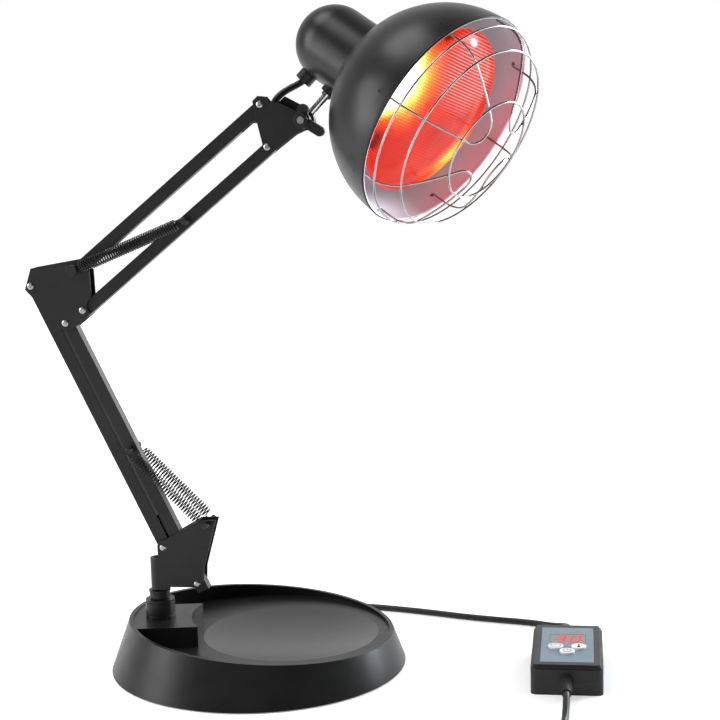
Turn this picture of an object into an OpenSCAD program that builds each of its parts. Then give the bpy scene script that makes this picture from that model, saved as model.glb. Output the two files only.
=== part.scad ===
// Infrared heat lamp: round weighted base, swivelling sprung double arm, cup and bowl shade with
// a wire guard, and a corded hand controller.  Millimetres, +Z up, origin under the base's centre.
// The arm moves in the plane y = arm_y; the base's own axis is turned a little from that plane.

/* [Base] */
// Diameter of the base at the floor
base_d = 225; // [190:1:260]
// How much the base's radius shrinks per millimetre of height
base_taper = 0.37; // [0.2:0.01:0.5]
// Height of the slanting rim at the base's centre
rim_z = 32; // [28:0.5:36]
// Slope of the rim, high at the post
rim_slope = 4.5; // [3.5:0.1:5.5]
// Thickness of the base's moulded wall
base_wall = 3.2; // [2:0.1:4.5]
// Height of the flat ring around the dish
floor_z = 22.5; // [20:0.5:24]
// Radius of the shallow dish
dish_r = 67; // [50:1:70]
// Depth of the dish at its middle
dish_depth = 7; // [3:0.5:8]
// Distance of the dish's centre from the base's centre
dish_off = 25; // [20:1:27]
// Height of the flat deck that carries the post
deck_z = 38.5; // [36:0.5:40]
// Half width of the deck
deck_half = 30; // [24:0.5:36]
// Radius of the round notch between deck and dish
notch_r = 75.5; // [72:0.5:78]
// Angle from the arm's plane to the base's own axis
base_turn = 9.6; // [0:0.1:20]
// Distance of the post from the base's centre
post_r = 74.3; // [70:0.1:80]
// Thickness of the steel ballast plate
ballast_t = 8.4; // [5:0.1:9]
// Thickness of the bottom cover
cover_t = 2; // [1.2:0.1:2.4]
// Height of the rubber feet below the cover
foot_h = 1.6; // [1:0.1:2.5]

/* [Post and bracket] */
// Outer diameter of the hollow post tube
tube_d = 9.6; // [9.2:0.1:10.4]
// Bore of the post tube, which passes the cord
tube_bore = 7.2; // [6.4:0.1:8]
// Height of the top of the post tube
tube_top = 85; // [78:0.5:86]
// Outer diameter of the fixed socket on the deck
socket_d = 22.4; // [19:0.2:26]
// Height of the socket above the deck
socket_h = 14.5; // [10:0.5:17]
// Outer diameter of the stop collar on the tube
collar_d = 15.4; // [13:0.2:18]
// Height of the stop collar
collar_h = 6.8; // [4:0.2:7]
// Thickness of the folded bracket's sheet
bracket_t = 1.2; // [0.8:0.1:1.6]
// Height of the bracket's bottom edge at the fold
bracket_z = 61; // [60.5:0.1:64]

/* [Arms] */
// Width of the square arm tubes
bar_w = 9.2; // [8.6:0.1:9.4]
// Wall of the square arm tubes
bar_wall = 1; // [0.7:0.1:1.4]
// Distance of the pivots from the tubes' centre lines
bar_off = 1.2; // [0:0.1:1.4]
// Length of the lower arm between pivots
lower_len = 220; // [180:1:260]
// Angle of the lower arm above the horizontal
lower_a = 115; // [105:0.5:117]
// Length of the upper arm between pivots
upper_len = 185.5; // [150:0.5:230]
// Angle of the upper arm above the horizontal
upper_a = 39.3; // [25:0.1:60]
// Gap at each side between an arm tube and its plates
side_gap = 0.4; // [0.3:0.05:0.8]
// Thickness of the elbow and head plates
plate_t = 1.2; // [0.8:0.1:1.6]
// Diameter of the pivot rivets' shanks
rivet_d = 3.4; // [3:0.1:3.8]
// Diameter of the rivet heads
rivet_head_d = 5; // [4.4:0.1:6]
// Running clearance of a pin in its bore, on the diameter
run_clear = 0.12; // [0.06:0.01:0.18]
// Play of a fixed pin in its bore, on the diameter
fit_clear = 0.04; // [0.02:0.01:0.06]

/* [Springs] */
// Outer diameter of the coil springs
spring_d = 9; // [7.5:0.1:10]
// Thickness of the spring wire
wire_d = 1.1; // [0.9:0.05:1.2]
// Number of curls of each spring
spring_curls = 16; // [10:1:17]
// Distance of the springs from the arm's plane
spring_y = 12.2; // [11.8:0.1:14]
// Diameter of the pins that carry the spring loops
hook_pin_d = 3; // [2.4:0.1:3.4]
// Distance from the lower arm's foot pivot to its spring pin
lower_pin_s = 113.5; // [90:0.5:130]
// Distance from the upper arm's elbow pivot to its spring pin
upper_pin_s = 104.5; // [85:0.5:120]
// Diameter of the round spring knobs at the elbow
knob_d = 8.4; // [6:0.1:10]

/* [Head] */
// Angle of the head's rod above the horizontal
rod_a = 46; // [40:0.5:52]
// Diameter of the head's rod
rod_d = 6; // [5:0.1:6.6]
// Diameter of the tilting barrel
barrel_d = 15; // [13:0.1:16]
// Diameter of the clamp bolt
bolt_d = 5; // [4:0.1:5.4]
// Turn of the head about its rod
head_swivel = 25.8; // [0:0.1:40]
// Angle between the lamp's axis and a square crossing of the rod
head_lean = 8.7; // [4:0.1:12]
// Outer diameter of the lamp cup
cup_d = 57; // [54:0.5:60]
// Wall of the lamp cup
cup_wall = 1.2; // [0.8:0.1:1.6]
// Outer radius of the bowl shade
shade_r = 79.6; // [78:0.1:84]
// Wall of the bowl shade
shade_wall = 1; // [0.8:0.1:1.4]
// Distance from the cup dome's centre to the shade's rim
rim_s = 111; // [110:0.5:116]
// Diameter of the lamp bulb
bulb_d = 126; // [115:1:130]
// Distance from the bulb's widest place to the shade's rim
bulb_back = 14; // [11:0.5:17]
// Wire thickness of the guard
guard_wire = 2; // [1.6:0.1:2.4]
// Height beyond the rim at which the guard's outermost ring meets the ribs
guard_h1 = 8.4; // [5:0.1:14]
// Turn of the guard about the lamp's axis
guard_turn = -15.5; // [-45:0.5:45]
// Radius of the ribs where the guard's middle ring sits
guard_r2 = 66.5; // [58:0.5:68]
// Radius of the ribs where the guard's centre ring sits
guard_r3 = 36.5; // [34:0.5:42]

/* [Cord] */
// Diameter of the mains cord
cord_d = 5; // [4.4:0.1:5.6]
// Middle diameter of the stored coil
coil_d = 58; // [52:1:60]
// Turns in the stored coil
coil_turns = 6; // [3:1:6]

/* [Controller] */
// Width of the controller
ctrl_w = 52; // [46:0.5:60]
// Length of the controller
ctrl_l = 95; // [88:0.5:110]
// Height of the controller
ctrl_h = 22; // [20:0.5:26]
// Corner radius of the controller
ctrl_r = 4.7; // [4:0.1:7]
// Wall of the controller's shells
ctrl_wall = 1.8; // [1.4:0.1:2.2]
// Diameter of the round buttons
button_d = 11.2; // [9.5:0.1:12]
// Travel of the buttons
button_travel = 0.8; // [0.4:0.1:0.8]

/* [Hidden] */
$fn = 64;
eps = 0.01;
big = 400;

// ---- places in the arm's plane, as [x, z] ----
post_x = -post_r * cos(base_turn);
arm_y = -post_r * sin(base_turn);
gap_half = bar_w / 2 + side_gap;
bracket_half = gap_half + bracket_t;
plates_half = gap_half + plate_t;
function polar(len, a) = len * [cos(a), sin(a)];
function right_of(a) = [sin(a), -cos(a)];
p1 = [post_x + 5.7, tube_top + 9.1];
p2 = p1 + [25.4, -28];
p3 = p1 + polar(lower_len, lower_a);
p4 = p2 + polar(lower_len, lower_a);
e3 = p3 + [34.8, 12];
e4 = e3 + [4.4, -30.5];
q3 = e3 + polar(upper_len, upper_a);
q4 = e4 + polar(upper_len, upper_a);
w0 = q3 + [31.5, -12.1];
s1 = p2 + [9.6, 46.4];
s2 = p2 + polar(lower_pin_s, lower_a) + bar_off * right_of(lower_a);
s4 = e4 + polar(upper_pin_s, upper_a) + bar_off * right_of(upper_a);

// ---- base heights ----
cover_z = foot_h;
ballast_z = cover_z + cover_t;
ballast_top = ballast_z + ballast_t;
hollow_z = floor_z - base_wall;
dish_sphere = (dish_r * dish_r + dish_depth * dish_depth) / (2 * dish_depth);
dish_centre_z = floor_z - dish_depth + dish_sphere;
shell_z = 0.8;
boss_r = base_d / 2 - base_wall - 11.8;
spigot_d = 14;
nut_h = 6;
boss_low = deck_z - 7.5;
grommet_az = 128;
grommet_z = 10;
grommet_d = 9;
relief_l = 24;
socket_top = deck_z + socket_h;
collar_z = socket_top + 0.3;
tube_low = boss_low - nut_h - 0.3;

// ---- head, along the rod (t) and along the lamp's axis (s) from the cup dome's centre ----
cup_r = cup_d / 2;
dome_t = 53.6;
dome_off = 23.5;
axis_cross_s = dome_off / cos(head_lean);
axis_cross_t = dome_t + dome_off * tan(head_lean);
cup_skin_t = axis_cross_t - cup_r / cos(head_lean);
seat_t = cup_skin_t - 3.2;
inner_seat_t = cup_skin_t + cup_wall / cos(head_lean) + 2.2;
rod_end_t = inner_seat_t + 4.6;
shade_s = rim_s - 1.4;
rim_band = 0.15;
neck_r = 23.5;
bulb_s = rim_s - bulb_back;
holder_r = 19.5;
holder_low = -15;
holder_high = 21;
holder_foot = 9;
holder_flange = 8;
cap_r = 13.2;
cap_low = -2;
cap_high = 25;
cap_taper = 4;
cap_tip = 5.9;
neck_low = cap_high + 0.1;
guard_skin = shade_r - shade_wall - 1.6 - guard_wire / 2;

// ---- controller ----
ctrl_x = 235;
ctrl_y = -10;
split_z = ctrl_h / 2;
step_in = 2;
panel_w = 38.4;
panel_l = 78.7;
panel_t = 0.5;
window_w = 26.8;
window_l = 19.7;
window_y = 13.5;
board_z = 8;
board_t = 1.6;
board_w = 36;
board_l = 82;
buttons = [[-8.4, -6.7], [8.4, -6.7], [0, -17.7]];
button_flange = 1.4;
button_rise = 1.3;
switch_h = 4.5;
pillar_x = ctrl_w / 2 - 5;
pillar_y = ctrl_l / 2 - 5.4;

// ---- small helpers ----
module in_arm() { translate([0, arm_y, 0]) children(); }
module at(p) { translate([p[0], 0, p[1]]) children(); }
module along_y(d, y0, y1) { translate([0, y0, 0]) rotate([-90, 0, 0]) cylinder(h = y1 - y0, d = d); }
module in_base() { rotate([0, 0, base_turn]) children(); }
module slab(points, y0, t) {
    translate([0, y0 + t, 0]) rotate([90, 0, 0]) linear_extrude(t) polygon(points);
}
// A soft-cornered plan of width w, length l and corner radius r.
module soft_plan(w, l, r) {
    square([w - 2 * r, l], center = true);
    square([w, l - 2 * r], center = true);
    for (x = [-1, 1], y = [-1, 1]) translate([x * (w / 2 - r), y * (l / 2 - r)]) circle(r = r);
}
// A rivet along Y through a pair of plates whose outer faces lie at +-half.
module rivet(half) {
    along_y(rivet_d, -half - 0.3, half + 0.3);
    for (side = [-1, 1]) rotate([side * 90, 0, 0]) translate([0, 0, half]) {
        cylinder(h = 0.6, d = rivet_head_d);
        translate([0, 0, 0.6 - eps]) cylinder(h = 0.6, d1 = rivet_head_d, d2 = rivet_head_d - 2);
    }
}

// ---- tubes swept along points ----
function unit(v) = v / norm(v);
function flat_normal(t) = let (n = cross(t, [0, 0, 1])) norm(n) > 0.05 ? unit(n) : [1, 0, 0];
// Carries a normal along the points so that the tube does not twist.
function carry(n, t) = let (m = n - (n * t) * t) norm(m) > 1e-6 ? unit(m) : flat_normal(t);
function tangent(pts, i) =
    unit(pts[min(i + 1, len(pts) - 1)] - pts[max(i - 1, 0)]);
function frames(pts, i = 0, n = undef, out = []) =
    i >= len(pts) ? out
    : let (t = tangent(pts, i), m = carry(i == 0 ? flat_normal(t) : n, t))
      frames(pts, i + 1, m, concat(out, [[t, m]]));
module tube_along(pts, d, sides) {
    count = len(pts);
    f = frames(pts);
    points = [for (i = [0:count - 1], k = [0:sides - 1])
        let (a = 360 * k / sides, b = cross(f[i][0], f[i][1]))
        pts[i] + d / 2 * (cos(a) * f[i][1] + sin(a) * b)];
    ends = [[for (k = [0:sides - 1]) k], [for (k = [sides - 1:-1:0]) (count - 1) * sides + k]];
    skin = [for (i = [0:count - 2], k = [0:sides - 1])
        let (a = i * sides + k, b = i * sides + (k + 1) % sides, c = a + sides, e = b + sides)
        each [[a, c, b], [b, c, e]]];
    fans = [for (cap = ends, k = [1:sides - 2]) [cap[0], cap[k], cap[k + 1]]];
    polyhedron(points, concat(skin, fans));
}
// Smallest distance between the surfaces of parts of one tube that lie more than skip points apart.
function least_gap(pts, d, skip) = min([
    for (i = [0:len(pts) - 1 - skip]) for (j = [i + skip:len(pts) - 1]) norm(pts[i] - pts[j]) - d]);

// ================= base =================
function cone_r(z) = base_d / 2 - base_taper * z;
module cone_body(inset, z0, z1) {
    translate([0, 0, z0]) cylinder(h = z1 - z0, r1 = cone_r(z0) - inset, r2 = cone_r(z1) - inset, $fn = 128);
}
module above_rim() {
    translate([0, 0, rim_z]) rotate([0, rim_slope, 0]) translate([-big / 2, -big / 2, 0]) cube([big, big, big / 4]);
}
module post_axis() { translate([-post_r, 0, 0]) children(); }
module at_bosses() { for (a = [45:90:315]) rotate([0, 0, a]) translate([boss_r, 0, 0]) children(); }
module at_grommet() { rotate([0, 0, grommet_az]) translate([cone_r(grommet_z), 0, grommet_z]) rotate([0, 90, 0]) children(); }
// The dish's hollow, or with a skin t the body that stands round it.
module dish_bowl(t) {
    intersection() {
        translate([dish_off, 0, dish_centre_z]) sphere(r = dish_sphere + t, $fn = 200);
        translate([dish_off, 0, 0]) cylinder(h = floor_z + 1, r = dish_r + t, $fn = 128);
    }
}
module base_shell() color("#2c2c2e") in_base() difference() {
    union() {
        difference() {
            cone_body(0, shell_z, deck_z + 6);
            cone_body(base_wall, floor_z, deck_z + 7);
            above_rim();
        }
        intersection() {
            cone_body(0.02, floor_z - 1, deck_z);
            translate([-base_d, -deck_half, 0]) cube([base_d, 2 * deck_half, deck_z]);
            difference() {
                cylinder(h = big / 4, r = base_d);
                translate([dish_off, 0, 0]) cylinder(h = big / 4, r = notch_r, $fn = 128);
            }
        }
    }
    dish_bowl(0);
    // the hollow underneath, with the dish's skin left standing
    difference() {
        union() {
            cone_body(base_wall, shell_z - 1, hollow_z);
            intersection() {
                cone_body(base_wall + 1, hollow_z - 1, deck_z - base_wall);
                translate([-base_d, base_wall - deck_half, 0])
                    cube([base_d, 2 * (deck_half - base_wall), deck_z]);
                difference() {
                    cylinder(h = big / 4, r = base_d);
                    translate([dish_off, 0, 0]) cylinder(h = big / 4, r = notch_r + base_wall, $fn = 128);
                }
            }
        }
        dish_bowl(base_wall);
        post_axis() translate([0, 0, boss_low]) cylinder(h = big / 4, d = spigot_d + 12);
        at_bosses() translate([0, 0, ballast_z]) cylinder(h = floor_z, d = 9);
    }
    post_axis() cylinder(h = big / 4, d = spigot_d + fit_clear);
    at_bosses() translate([0, 0, shell_z]) cylinder(h = 12, d = 3 + fit_clear);
    at_grommet() translate([0, 0, -12]) cylinder(h = 24, d = grommet_d + fit_clear);
}
module ballast_plate() color("#6d6f72") in_base() difference() {
    translate([0, 0, ballast_z]) cylinder(h = ballast_t, r = boss_r - 5.5, $fn = 128);
    post_axis() translate([-big / 2 + 30, -big / 2, 0]) cube([big / 2, big, big / 4]);
}
// A moulded cord exit along +Z: a flange behind the wall, a neck through it and a tapered tail.
// The wall reaches from -inside to +outside where the flange and the collar meet it.
module cord_relief(neck_d, inside, outside) {
    difference() {
        union() {
            translate([0, 0, -inside - 1.5]) cylinder(h = 1.5, d = neck_d + 3);
            translate([0, 0, -inside - 0.1]) cylinder(h = inside + outside + 0.2, d = neck_d);
            translate([0, 0, outside]) cylinder(h = 2.2, d = neck_d + 2.4);
            translate([0, 0, outside + 2.1])
                cylinder(h = relief_l - outside - 2.1, d1 = neck_d + 0.6, d2 = cord_d + 2);
        }
        translate([0, 0, -inside - 2]) cylinder(h = big / 4, d = cord_d + 0.3);
    }
}
module base_grommet() color("#161618") in_base() at_grommet() cord_relief(grommet_d, base_wall + 2.4, 2.4);
module bottom_cover() color("#242425") in_base() difference() {
    translate([0, 0, cover_z]) cylinder(h = cover_t, r = cone_r(ballast_z) - base_wall - 0.3, $fn = 128);
    at_bosses() cylinder(h = floor_z, d = 3 + fit_clear);
}
module rubber_feet() color("#1b1b1c") in_base() {
    cylinder(h = foot_h, d = 16);
    for (a = [0:60:300]) rotate([0, 0, a]) translate([boss_r - 8, 0, 0]) cylinder(h = foot_h, d = 16);
}
module cover_screws() color("#9a9c9f") in_base() at_bosses() {
    translate([0, 0, cover_z - 1]) cylinder(h = 1, d = 5.6);
    translate([0, 0, cover_z - 0.5]) cylinder(h = 8, d = 3);
}

// ================= post =================
module on_post() { translate([post_x, arm_y, 0]) children(); }
module post_socket() color("#1f1f21") on_post() difference() {
    union() {
        translate([0, 0, deck_z]) cylinder(h = socket_h, d = socket_d - 1);
        translate([0, 0, deck_z]) cylinder(h = 2.4, d = socket_d);
        translate([0, 0, deck_z + 3.2]) cylinder(h = socket_h - 5.4, d = socket_d);
        translate([0, 0, socket_top - 1.6]) cylinder(h = 1.6, d = socket_d - 0.4);
        translate([0, 0, tube_low]) cylinder(h = deck_z - tube_low + eps, d = spigot_d);
    }
    translate([0, 0, tube_low - 1]) cylinder(h = big / 4, d = tube_d + run_clear);
}
module socket_nut() color("#8c8e91") on_post() translate([0, 0, boss_low - nut_h]) difference() {
    cylinder(h = nut_h - 0.05, d = 22, $fn = 6);
    translate([0, 0, -1]) cylinder(h = nut_h + 2, d = spigot_d + fit_clear);
}
module post_tube() color("#232325") on_post() difference() {
    translate([0, 0, tube_low]) cylinder(h = tube_top - tube_low, d = tube_d);
    translate([0, 0, tube_low - 1]) cylinder(h = big / 4, d = tube_bore);
}
module stop_collar() color("#1f1f21") on_post() difference() {
    union() {
        translate([0, 0, collar_z]) cylinder(h = collar_h, d = collar_d - 0.8);
        translate([0, 0, collar_z + 1]) cylinder(h = collar_h - 3, d = collar_d);
        translate([0, 0, collar_z + collar_h - 1]) cylinder(h = 1, d = collar_d + 1.2);
    }
    translate([0, 0, collar_z - 1]) cylinder(h = big / 4, d = tube_d + fit_clear);
    translate([0, 0, collar_z + 2.6]) rotate([0, 90, 40]) cylinder(h = collar_d, d = 2.4);
}
bracket_top = p1[1] + 6.8;
bracket_points = [
    [post_x, bracket_z], [post_x + 8.2, bracket_z], [post_x + 10.4, bracket_z + 2.4],
    [p2[0] + 2.6, bracket_z + 2.4], p2 + [5, 0.4], p2 + [5.6, 12.3],
    s1 + [6.4, 3.2], s1 + [-6.8, 3], p1 + [3.2, 6.8], p1 + [-1.6, 5.4], p1 + [-4.6, 1.4],
    p1 + [-4.4, -6], [post_x, tube_top + 0.2]];
module lower_bracket() color("#2b2b2d") in_arm() difference() {
    union() {
        for (y = [-bracket_half, gap_half]) slab(bracket_points, y, bracket_t);
        intersection() {
            translate([post_x, 0, bracket_z]) difference() {
                cylinder(h = tube_top + 0.2 - bracket_z, r = bracket_half);
                translate([0, 0, -1]) cylinder(h = big / 4, r = gap_half);
            }
            translate([post_x - bracket_half - 1, -bracket_half - 1, 0])
                cube([bracket_half + 1 + eps, 2 * bracket_half + 2, big / 2]);
        }
    }
    for (p = [p1, p2]) at(p) along_y(rivet_d + fit_clear, -20, 20);
    at(s1) along_y(hook_pin_d + fit_clear, -20, 20);
}
module lower_rivets() color("#d4d5d6") in_arm() for (p = [p1, p2]) at(p) rivet(bracket_half);
module anchor_stud(side) {
    rotate([side * 90, 0, 0]) {
        translate([0, 0, gap_half + 0.05]) cylinder(h = spring_y + 1.4 - gap_half, d = hook_pin_d);
        translate([0, 0, spring_y + 1.4]) cylinder(h = 1.2, d = hook_pin_d + 1.6);
    }
}
module lower_anchor_pins() color("#242426") in_arm() at(s1) for (side = [-1, 1]) anchor_stud(side);

// ================= arms =================
// A square tube from pivot to pivot.  foot_ext 0 rounds its foot; a length cuts it square there.
module arm_bar(p, a, length, foot_ext = 0) {
    at(p) rotate([0, -a, 0]) difference() {
        translate([0, 0, -bar_off]) difference() {
            union() {
                translate([-foot_ext, -bar_w / 2, -bar_w / 2]) cube([length + foot_ext, bar_w, bar_w]);
                for (x = foot_ext > 0 ? [length] : [0, length])
                    translate([x, 0, 0]) along_y(bar_w, -bar_w / 2, bar_w / 2);
            }
            translate([-20, bar_wall - bar_w / 2, bar_wall - bar_w / 2])
                cube([length + 40, bar_w - 2 * bar_wall, bar_w - 2 * bar_wall]);
        }
        for (x = [0, length]) translate([x, 0, 0]) along_y(rivet_d + run_clear, -bar_w, bar_w);
        children();
    }
}
// A cut in the underside of a tube for the cord, from x0 to x1 along it.
module cord_slot(x0, x1) {
    translate([x0, -bar_w / 2 + bar_wall, -bar_w]) cube([x1 - x0, bar_w - 2 * bar_wall, bar_w]);
}
module cross_bore(x) { translate([x, 0, -bar_off]) along_y(hook_pin_d + fit_clear, -bar_w, bar_w); }
slot0 = 3;
slot1 = 24;
module lower_bar_rear() color("#2b2b2d") in_arm() arm_bar(p1, lower_a, lower_len) {
    cord_slot(-bar_w, slot1);
    cord_slot(lower_len - slot1, lower_len - slot0);
}
module lower_bar_front() color("#2b2b2d") in_arm() arm_bar(p2, lower_a, lower_len, 7)
    cross_bore(lower_pin_s);
module upper_bar_top() color("#2b2b2d") in_arm() arm_bar(e3, upper_a, upper_len) {
    cord_slot(slot0, slot1);
    cord_slot(upper_len - slot1, upper_len - slot0);
}
module upper_bar_bottom() color("#2b2b2d") in_arm() arm_bar(e4, upper_a, upper_len)
    cross_bore(upper_pin_s);
module cross_pin() {
    along_y(hook_pin_d, -spring_y - 1.5, spring_y + 1.5);
    for (side = [-1, 1]) rotate([side * 90, 0, 0]) {
        translate([0, 0, spring_y + 1.4]) cylinder(h = 1.2, d = hook_pin_d + 1.6);
        translate([0, 0, bar_w / 2 + 0.1]) cylinder(h = 1.4, d = hook_pin_d + 1.6);
    }
}
module lower_cross_pin() color("#242426") in_arm() at(s2) cross_pin();
module upper_cross_pin() color("#242426") in_arm() at(s4) cross_pin();

notch_c = e4 + [10, 3.2];
elbow_points = [
    p3 + [-4.5, -2.6], p3 + [0.6, 13.2], e3 + [4.5, 7.6], e3 + [10.8, -1.2], e3 + [11.4, -19],
    e4 + [5.6, -3.2], p4 + [9, -1.9], p4 + [5, -5.4], p4 + [-1.4, -5.6], p4 + [-7, -1.6],
    p3 + [0.4, -8]];
module elbow_plate(y) {
    difference() {
        slab(elbow_points, y, plate_t);
        at(notch_c) along_y(13, -20, 20);
        for (p = [p3, p4, e3, e4]) at(p) along_y(rivet_d + fit_clear, -20, 20);
    }
}
module elbow_plate_front() color("#2b2b2d") in_arm() elbow_plate(-plates_half);
module elbow_plate_rear() color("#2b2b2d") in_arm() elbow_plate(gap_half);
module elbow_rivets() color("#d4d5d6") in_arm() for (p = [p3, p4, e4]) at(p) rivet(plates_half);
module elbow_anchor_pin() color("#4a4b4e") in_arm() at(e3) {
    along_y(rivet_d, -spring_y - 1.5, spring_y + 1.5);
    for (side = [-1, 1]) rotate([side * 90, 0, 0]) {
        translate([0, 0, plates_half + 0.05]) cylinder(h = 1.2, d = rivet_d + 2.4);
        translate([0, 0, spring_y + 1.4]) cylinder(h = 2.6, d = knob_d);
    }
}

// ================= springs =================
// One wire: an end loop round a pin, the curls, and an end loop round the other pin.
// It runs along +X from the origin's pin to the one at length; the pins lie along Y.
loop_r = (hook_pin_d + wire_d) / 2 + 0.35;
coil_r = (spring_d - wire_d) / 2;
curl_from = knob_d / 2 + wire_d + 0.3;
function curls(length) = [
    for (i = [0:8 * spring_curls])
        let (turn = i / 8, ramp = min(1, turn, spring_curls - turn),
             r = loop_r + (coil_r - loop_r) * ramp,
             x = curl_from + (length - 2 * curl_from) * i / (8 * spring_curls))
        [x, r * sin(360 * turn), r * cos(360 * turn)]];
function spring_points(length) =
    concat([for (i = [0:6]) let (a = -60 - i * 35) [loop_r * cos(a), 0, loop_r * sin(a)]],
           curls(length),
           [for (i = [6:-1:0]) let (a = -60 - i * 35) [length - loop_r * cos(a), 0, loop_r * sin(a)]]);
module spring_between(pa, pb, y) {
    length = norm(pb - pa);
    a = atan2(pb[1] - pa[1], pb[0] - pa[0]);
    translate([0, y, 0]) at(pa) rotate([0, -a, 0]) tube_along(spring_points(length), wire_d, 6);
}
lower_spring_len = norm(s2 - s1);
upper_spring_len = norm(s4 - e3);
echo(lower_spring_gap = least_gap(spring_points(lower_spring_len), wire_d, 5));
echo(upper_spring_gap = least_gap(spring_points(upper_spring_len), wire_d, 5));
module lower_spring_front() color("#17181a") in_arm() spring_between(s1, s2, -spring_y);
module lower_spring_rear() color("#17181a") in_arm() spring_between(s1, s2, spring_y);
module upper_spring_front() color("#17181a") in_arm() spring_between(e3, s4, -spring_y);
module upper_spring_rear() color("#17181a") in_arm() spring_between(e3, s4, spring_y);

// ================= head bracket =================
head_front_points = [
    q3 + [-5.4, 2.4], q3 + [-1.6, 6], q3 + [3.4, 5.4], q3 + [6, 2.2], q3 + [14.3, 0.6],
    w0 + [-3.6, 5.6], w0 + [2.8, 5.6], w0 + [6.2, 1.6], w0 + [5.6, -3.6], w0 + [1.4, -6.6],
    w0 + [-7.1, -10.4], q4 + [9.3, 0], q4 + [3, -5], q4 + [-2.6, -3.6], q4 + [-3.6, 3],
    q3 + [-3.4, -9.4]];
head_rear_points = [
    q3 + [-5.4, 2.4], q3 + [-1.6, 6], q3 + [3.4, 5.4], q3 + [6, 2.2], q3 + [11.4, 1.2], q3 + [16.4, 5.4],
    w0 + [5.4, 6.4], w0 + [7, 2], w0 + [5.6, -3.6], w0 + [1.4, -6.6],
    w0 + [-7.1, -10.4], q4 + [9.3, 0], q4 + [3, -5], q4 + [-2.6, -3.6], q4 + [-3.6, 3],
    q3 + [-3.4, -9.4]];
module head_plate(points, y) {
    difference() {
        slab(points, y, plate_t);
        for (p = [q3, q4]) at(p) along_y(rivet_d + fit_clear, -20, 20);
        at(w0) along_y(bolt_d + fit_clear, -20, 20);
    }
}
module head_plate_front() color("#262628") in_arm() head_plate(head_front_points, -plates_half);
module head_plate_rear() color("#262628") in_arm() head_plate(head_rear_points, gap_half);
module head_rivets() color("#d4d5d6") in_arm() for (p = [q3, q4]) at(p) rivet(plates_half);
bolt_end = -plates_half - 13;
module tilt_bolt() color("#b9bbbd") in_arm() at(w0) {
    along_y(bolt_d, bolt_end, plates_half + 1);
    along_y(9, plates_half + 0.05, plates_half + 3.4);
}
nut_y0 = -plates_half - 11.5;
nut_y1 = -plates_half - 0.35;
module wing_nut() color("#1d1d1f") in_arm() at(w0) difference() {
    union() {
        along_y(12, nut_y0 + 3, nut_y1);
        along_y(9.6, nut_y0, nut_y1);
        rotate([0, 33, 0]) {
            translate([4, nut_y0 + 3.4, -3.6]) cube([11, 5, 7.2]);
            translate([15, 0, 0]) along_y(7.2, nut_y0 + 3.4, nut_y0 + 8.4);
        }
        rotate([0, -83, 0]) {
            translate([3, nut_y0 + 3.4, -4]) cube([4.6, 5, 8]);
            translate([7.6, 0, 0]) along_y(8, nut_y0 + 3.4, nut_y0 + 8.4);
        }
    }
    along_y(bolt_d + run_clear, nut_y0 - 1, nut_y1 + 1);
}

// ================= tilting rod =================
module rod_frame() { in_arm() at(w0) rotate([0, -rod_a, 0]) children(); }
module along_x(d, x0, x1) { translate([x0, 0, 0]) rotate([0, 90, 0]) cylinder(h = x1 - x0, d = d); }
rod_in_t = bolt_d / 2 + 0.9;
module swivel_barrel() color("#232325") rod_frame() difference() {
    along_y(barrel_d, -gap_half + 0.15, gap_half - 0.15);
    along_y(bolt_d + run_clear, -20, 20);
    along_x(rod_d + fit_clear, rod_in_t - 0.1, barrel_d);
}
module head_rod() color("#c9cbcd") rod_frame() {
    along_x(rod_d, rod_in_t, rod_end_t);
    along_x(rod_d + 2.8, seat_t - 2.5, seat_t - 0.3);
    along_x(10, inner_seat_t + 0.3, rod_end_t - 1);
}

// ================= head =================
// Local +Z is the lamp's axis, out of the shade; the origin is the cup dome's centre.
module lamp_frame() {
    rod_frame() rotate([-head_swivel, 0, 0]) translate([dome_t, 0, dome_off])
        rotate([0, 180 - head_lean, 0]) children();
}
// The rod's line, seen from the lamp's frame; children are laid along the rod from the bolt.
module rod_line() { rotate([0, head_lean - 180, 0]) translate([-dome_t, 0, -dome_off]) children(); }
gland_len = 6.6;
module gland_line() { rotate([0, 90 + head_lean, 0]) children(); }
module lamp_cup() color("#242426") lamp_frame() difference() {
    union() {
        cylinder(h = shade_s, r = cup_r, $fn = 96);
        sphere(r = cup_r, $fn = 96);
        rod_line() along_x(13, seat_t, cup_skin_t + 3);
    }
    difference() {
        union() {
            cylinder(h = shade_s, r = cup_r - cup_wall, $fn = 96);
            sphere(r = cup_r - cup_wall, $fn = 96);
        }
        rod_line() along_x(12, cup_skin_t - 1, inner_seat_t);
    }
    translate([0, 0, shade_s]) sphere(r = shade_r + 0.05, $fn = 200);
    translate([0, 0, shade_s]) cylinder(h = big, r = base_d);
    rod_line() along_x(rod_d + run_clear, seat_t - 5, inner_seat_t + 5);
    gland_line() cylinder(h = cup_d, d = cord_d + 1);
}
module cable_gland() color("#1c1c1e") lamp_frame() difference() {
    gland_line() cylinder(h = cup_r + gland_len, d = 13);
    sphere(r = cup_r + 0.12, $fn = 96);
    gland_line() cylinder(h = cup_d, d = cord_d + 0.4);
}
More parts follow.
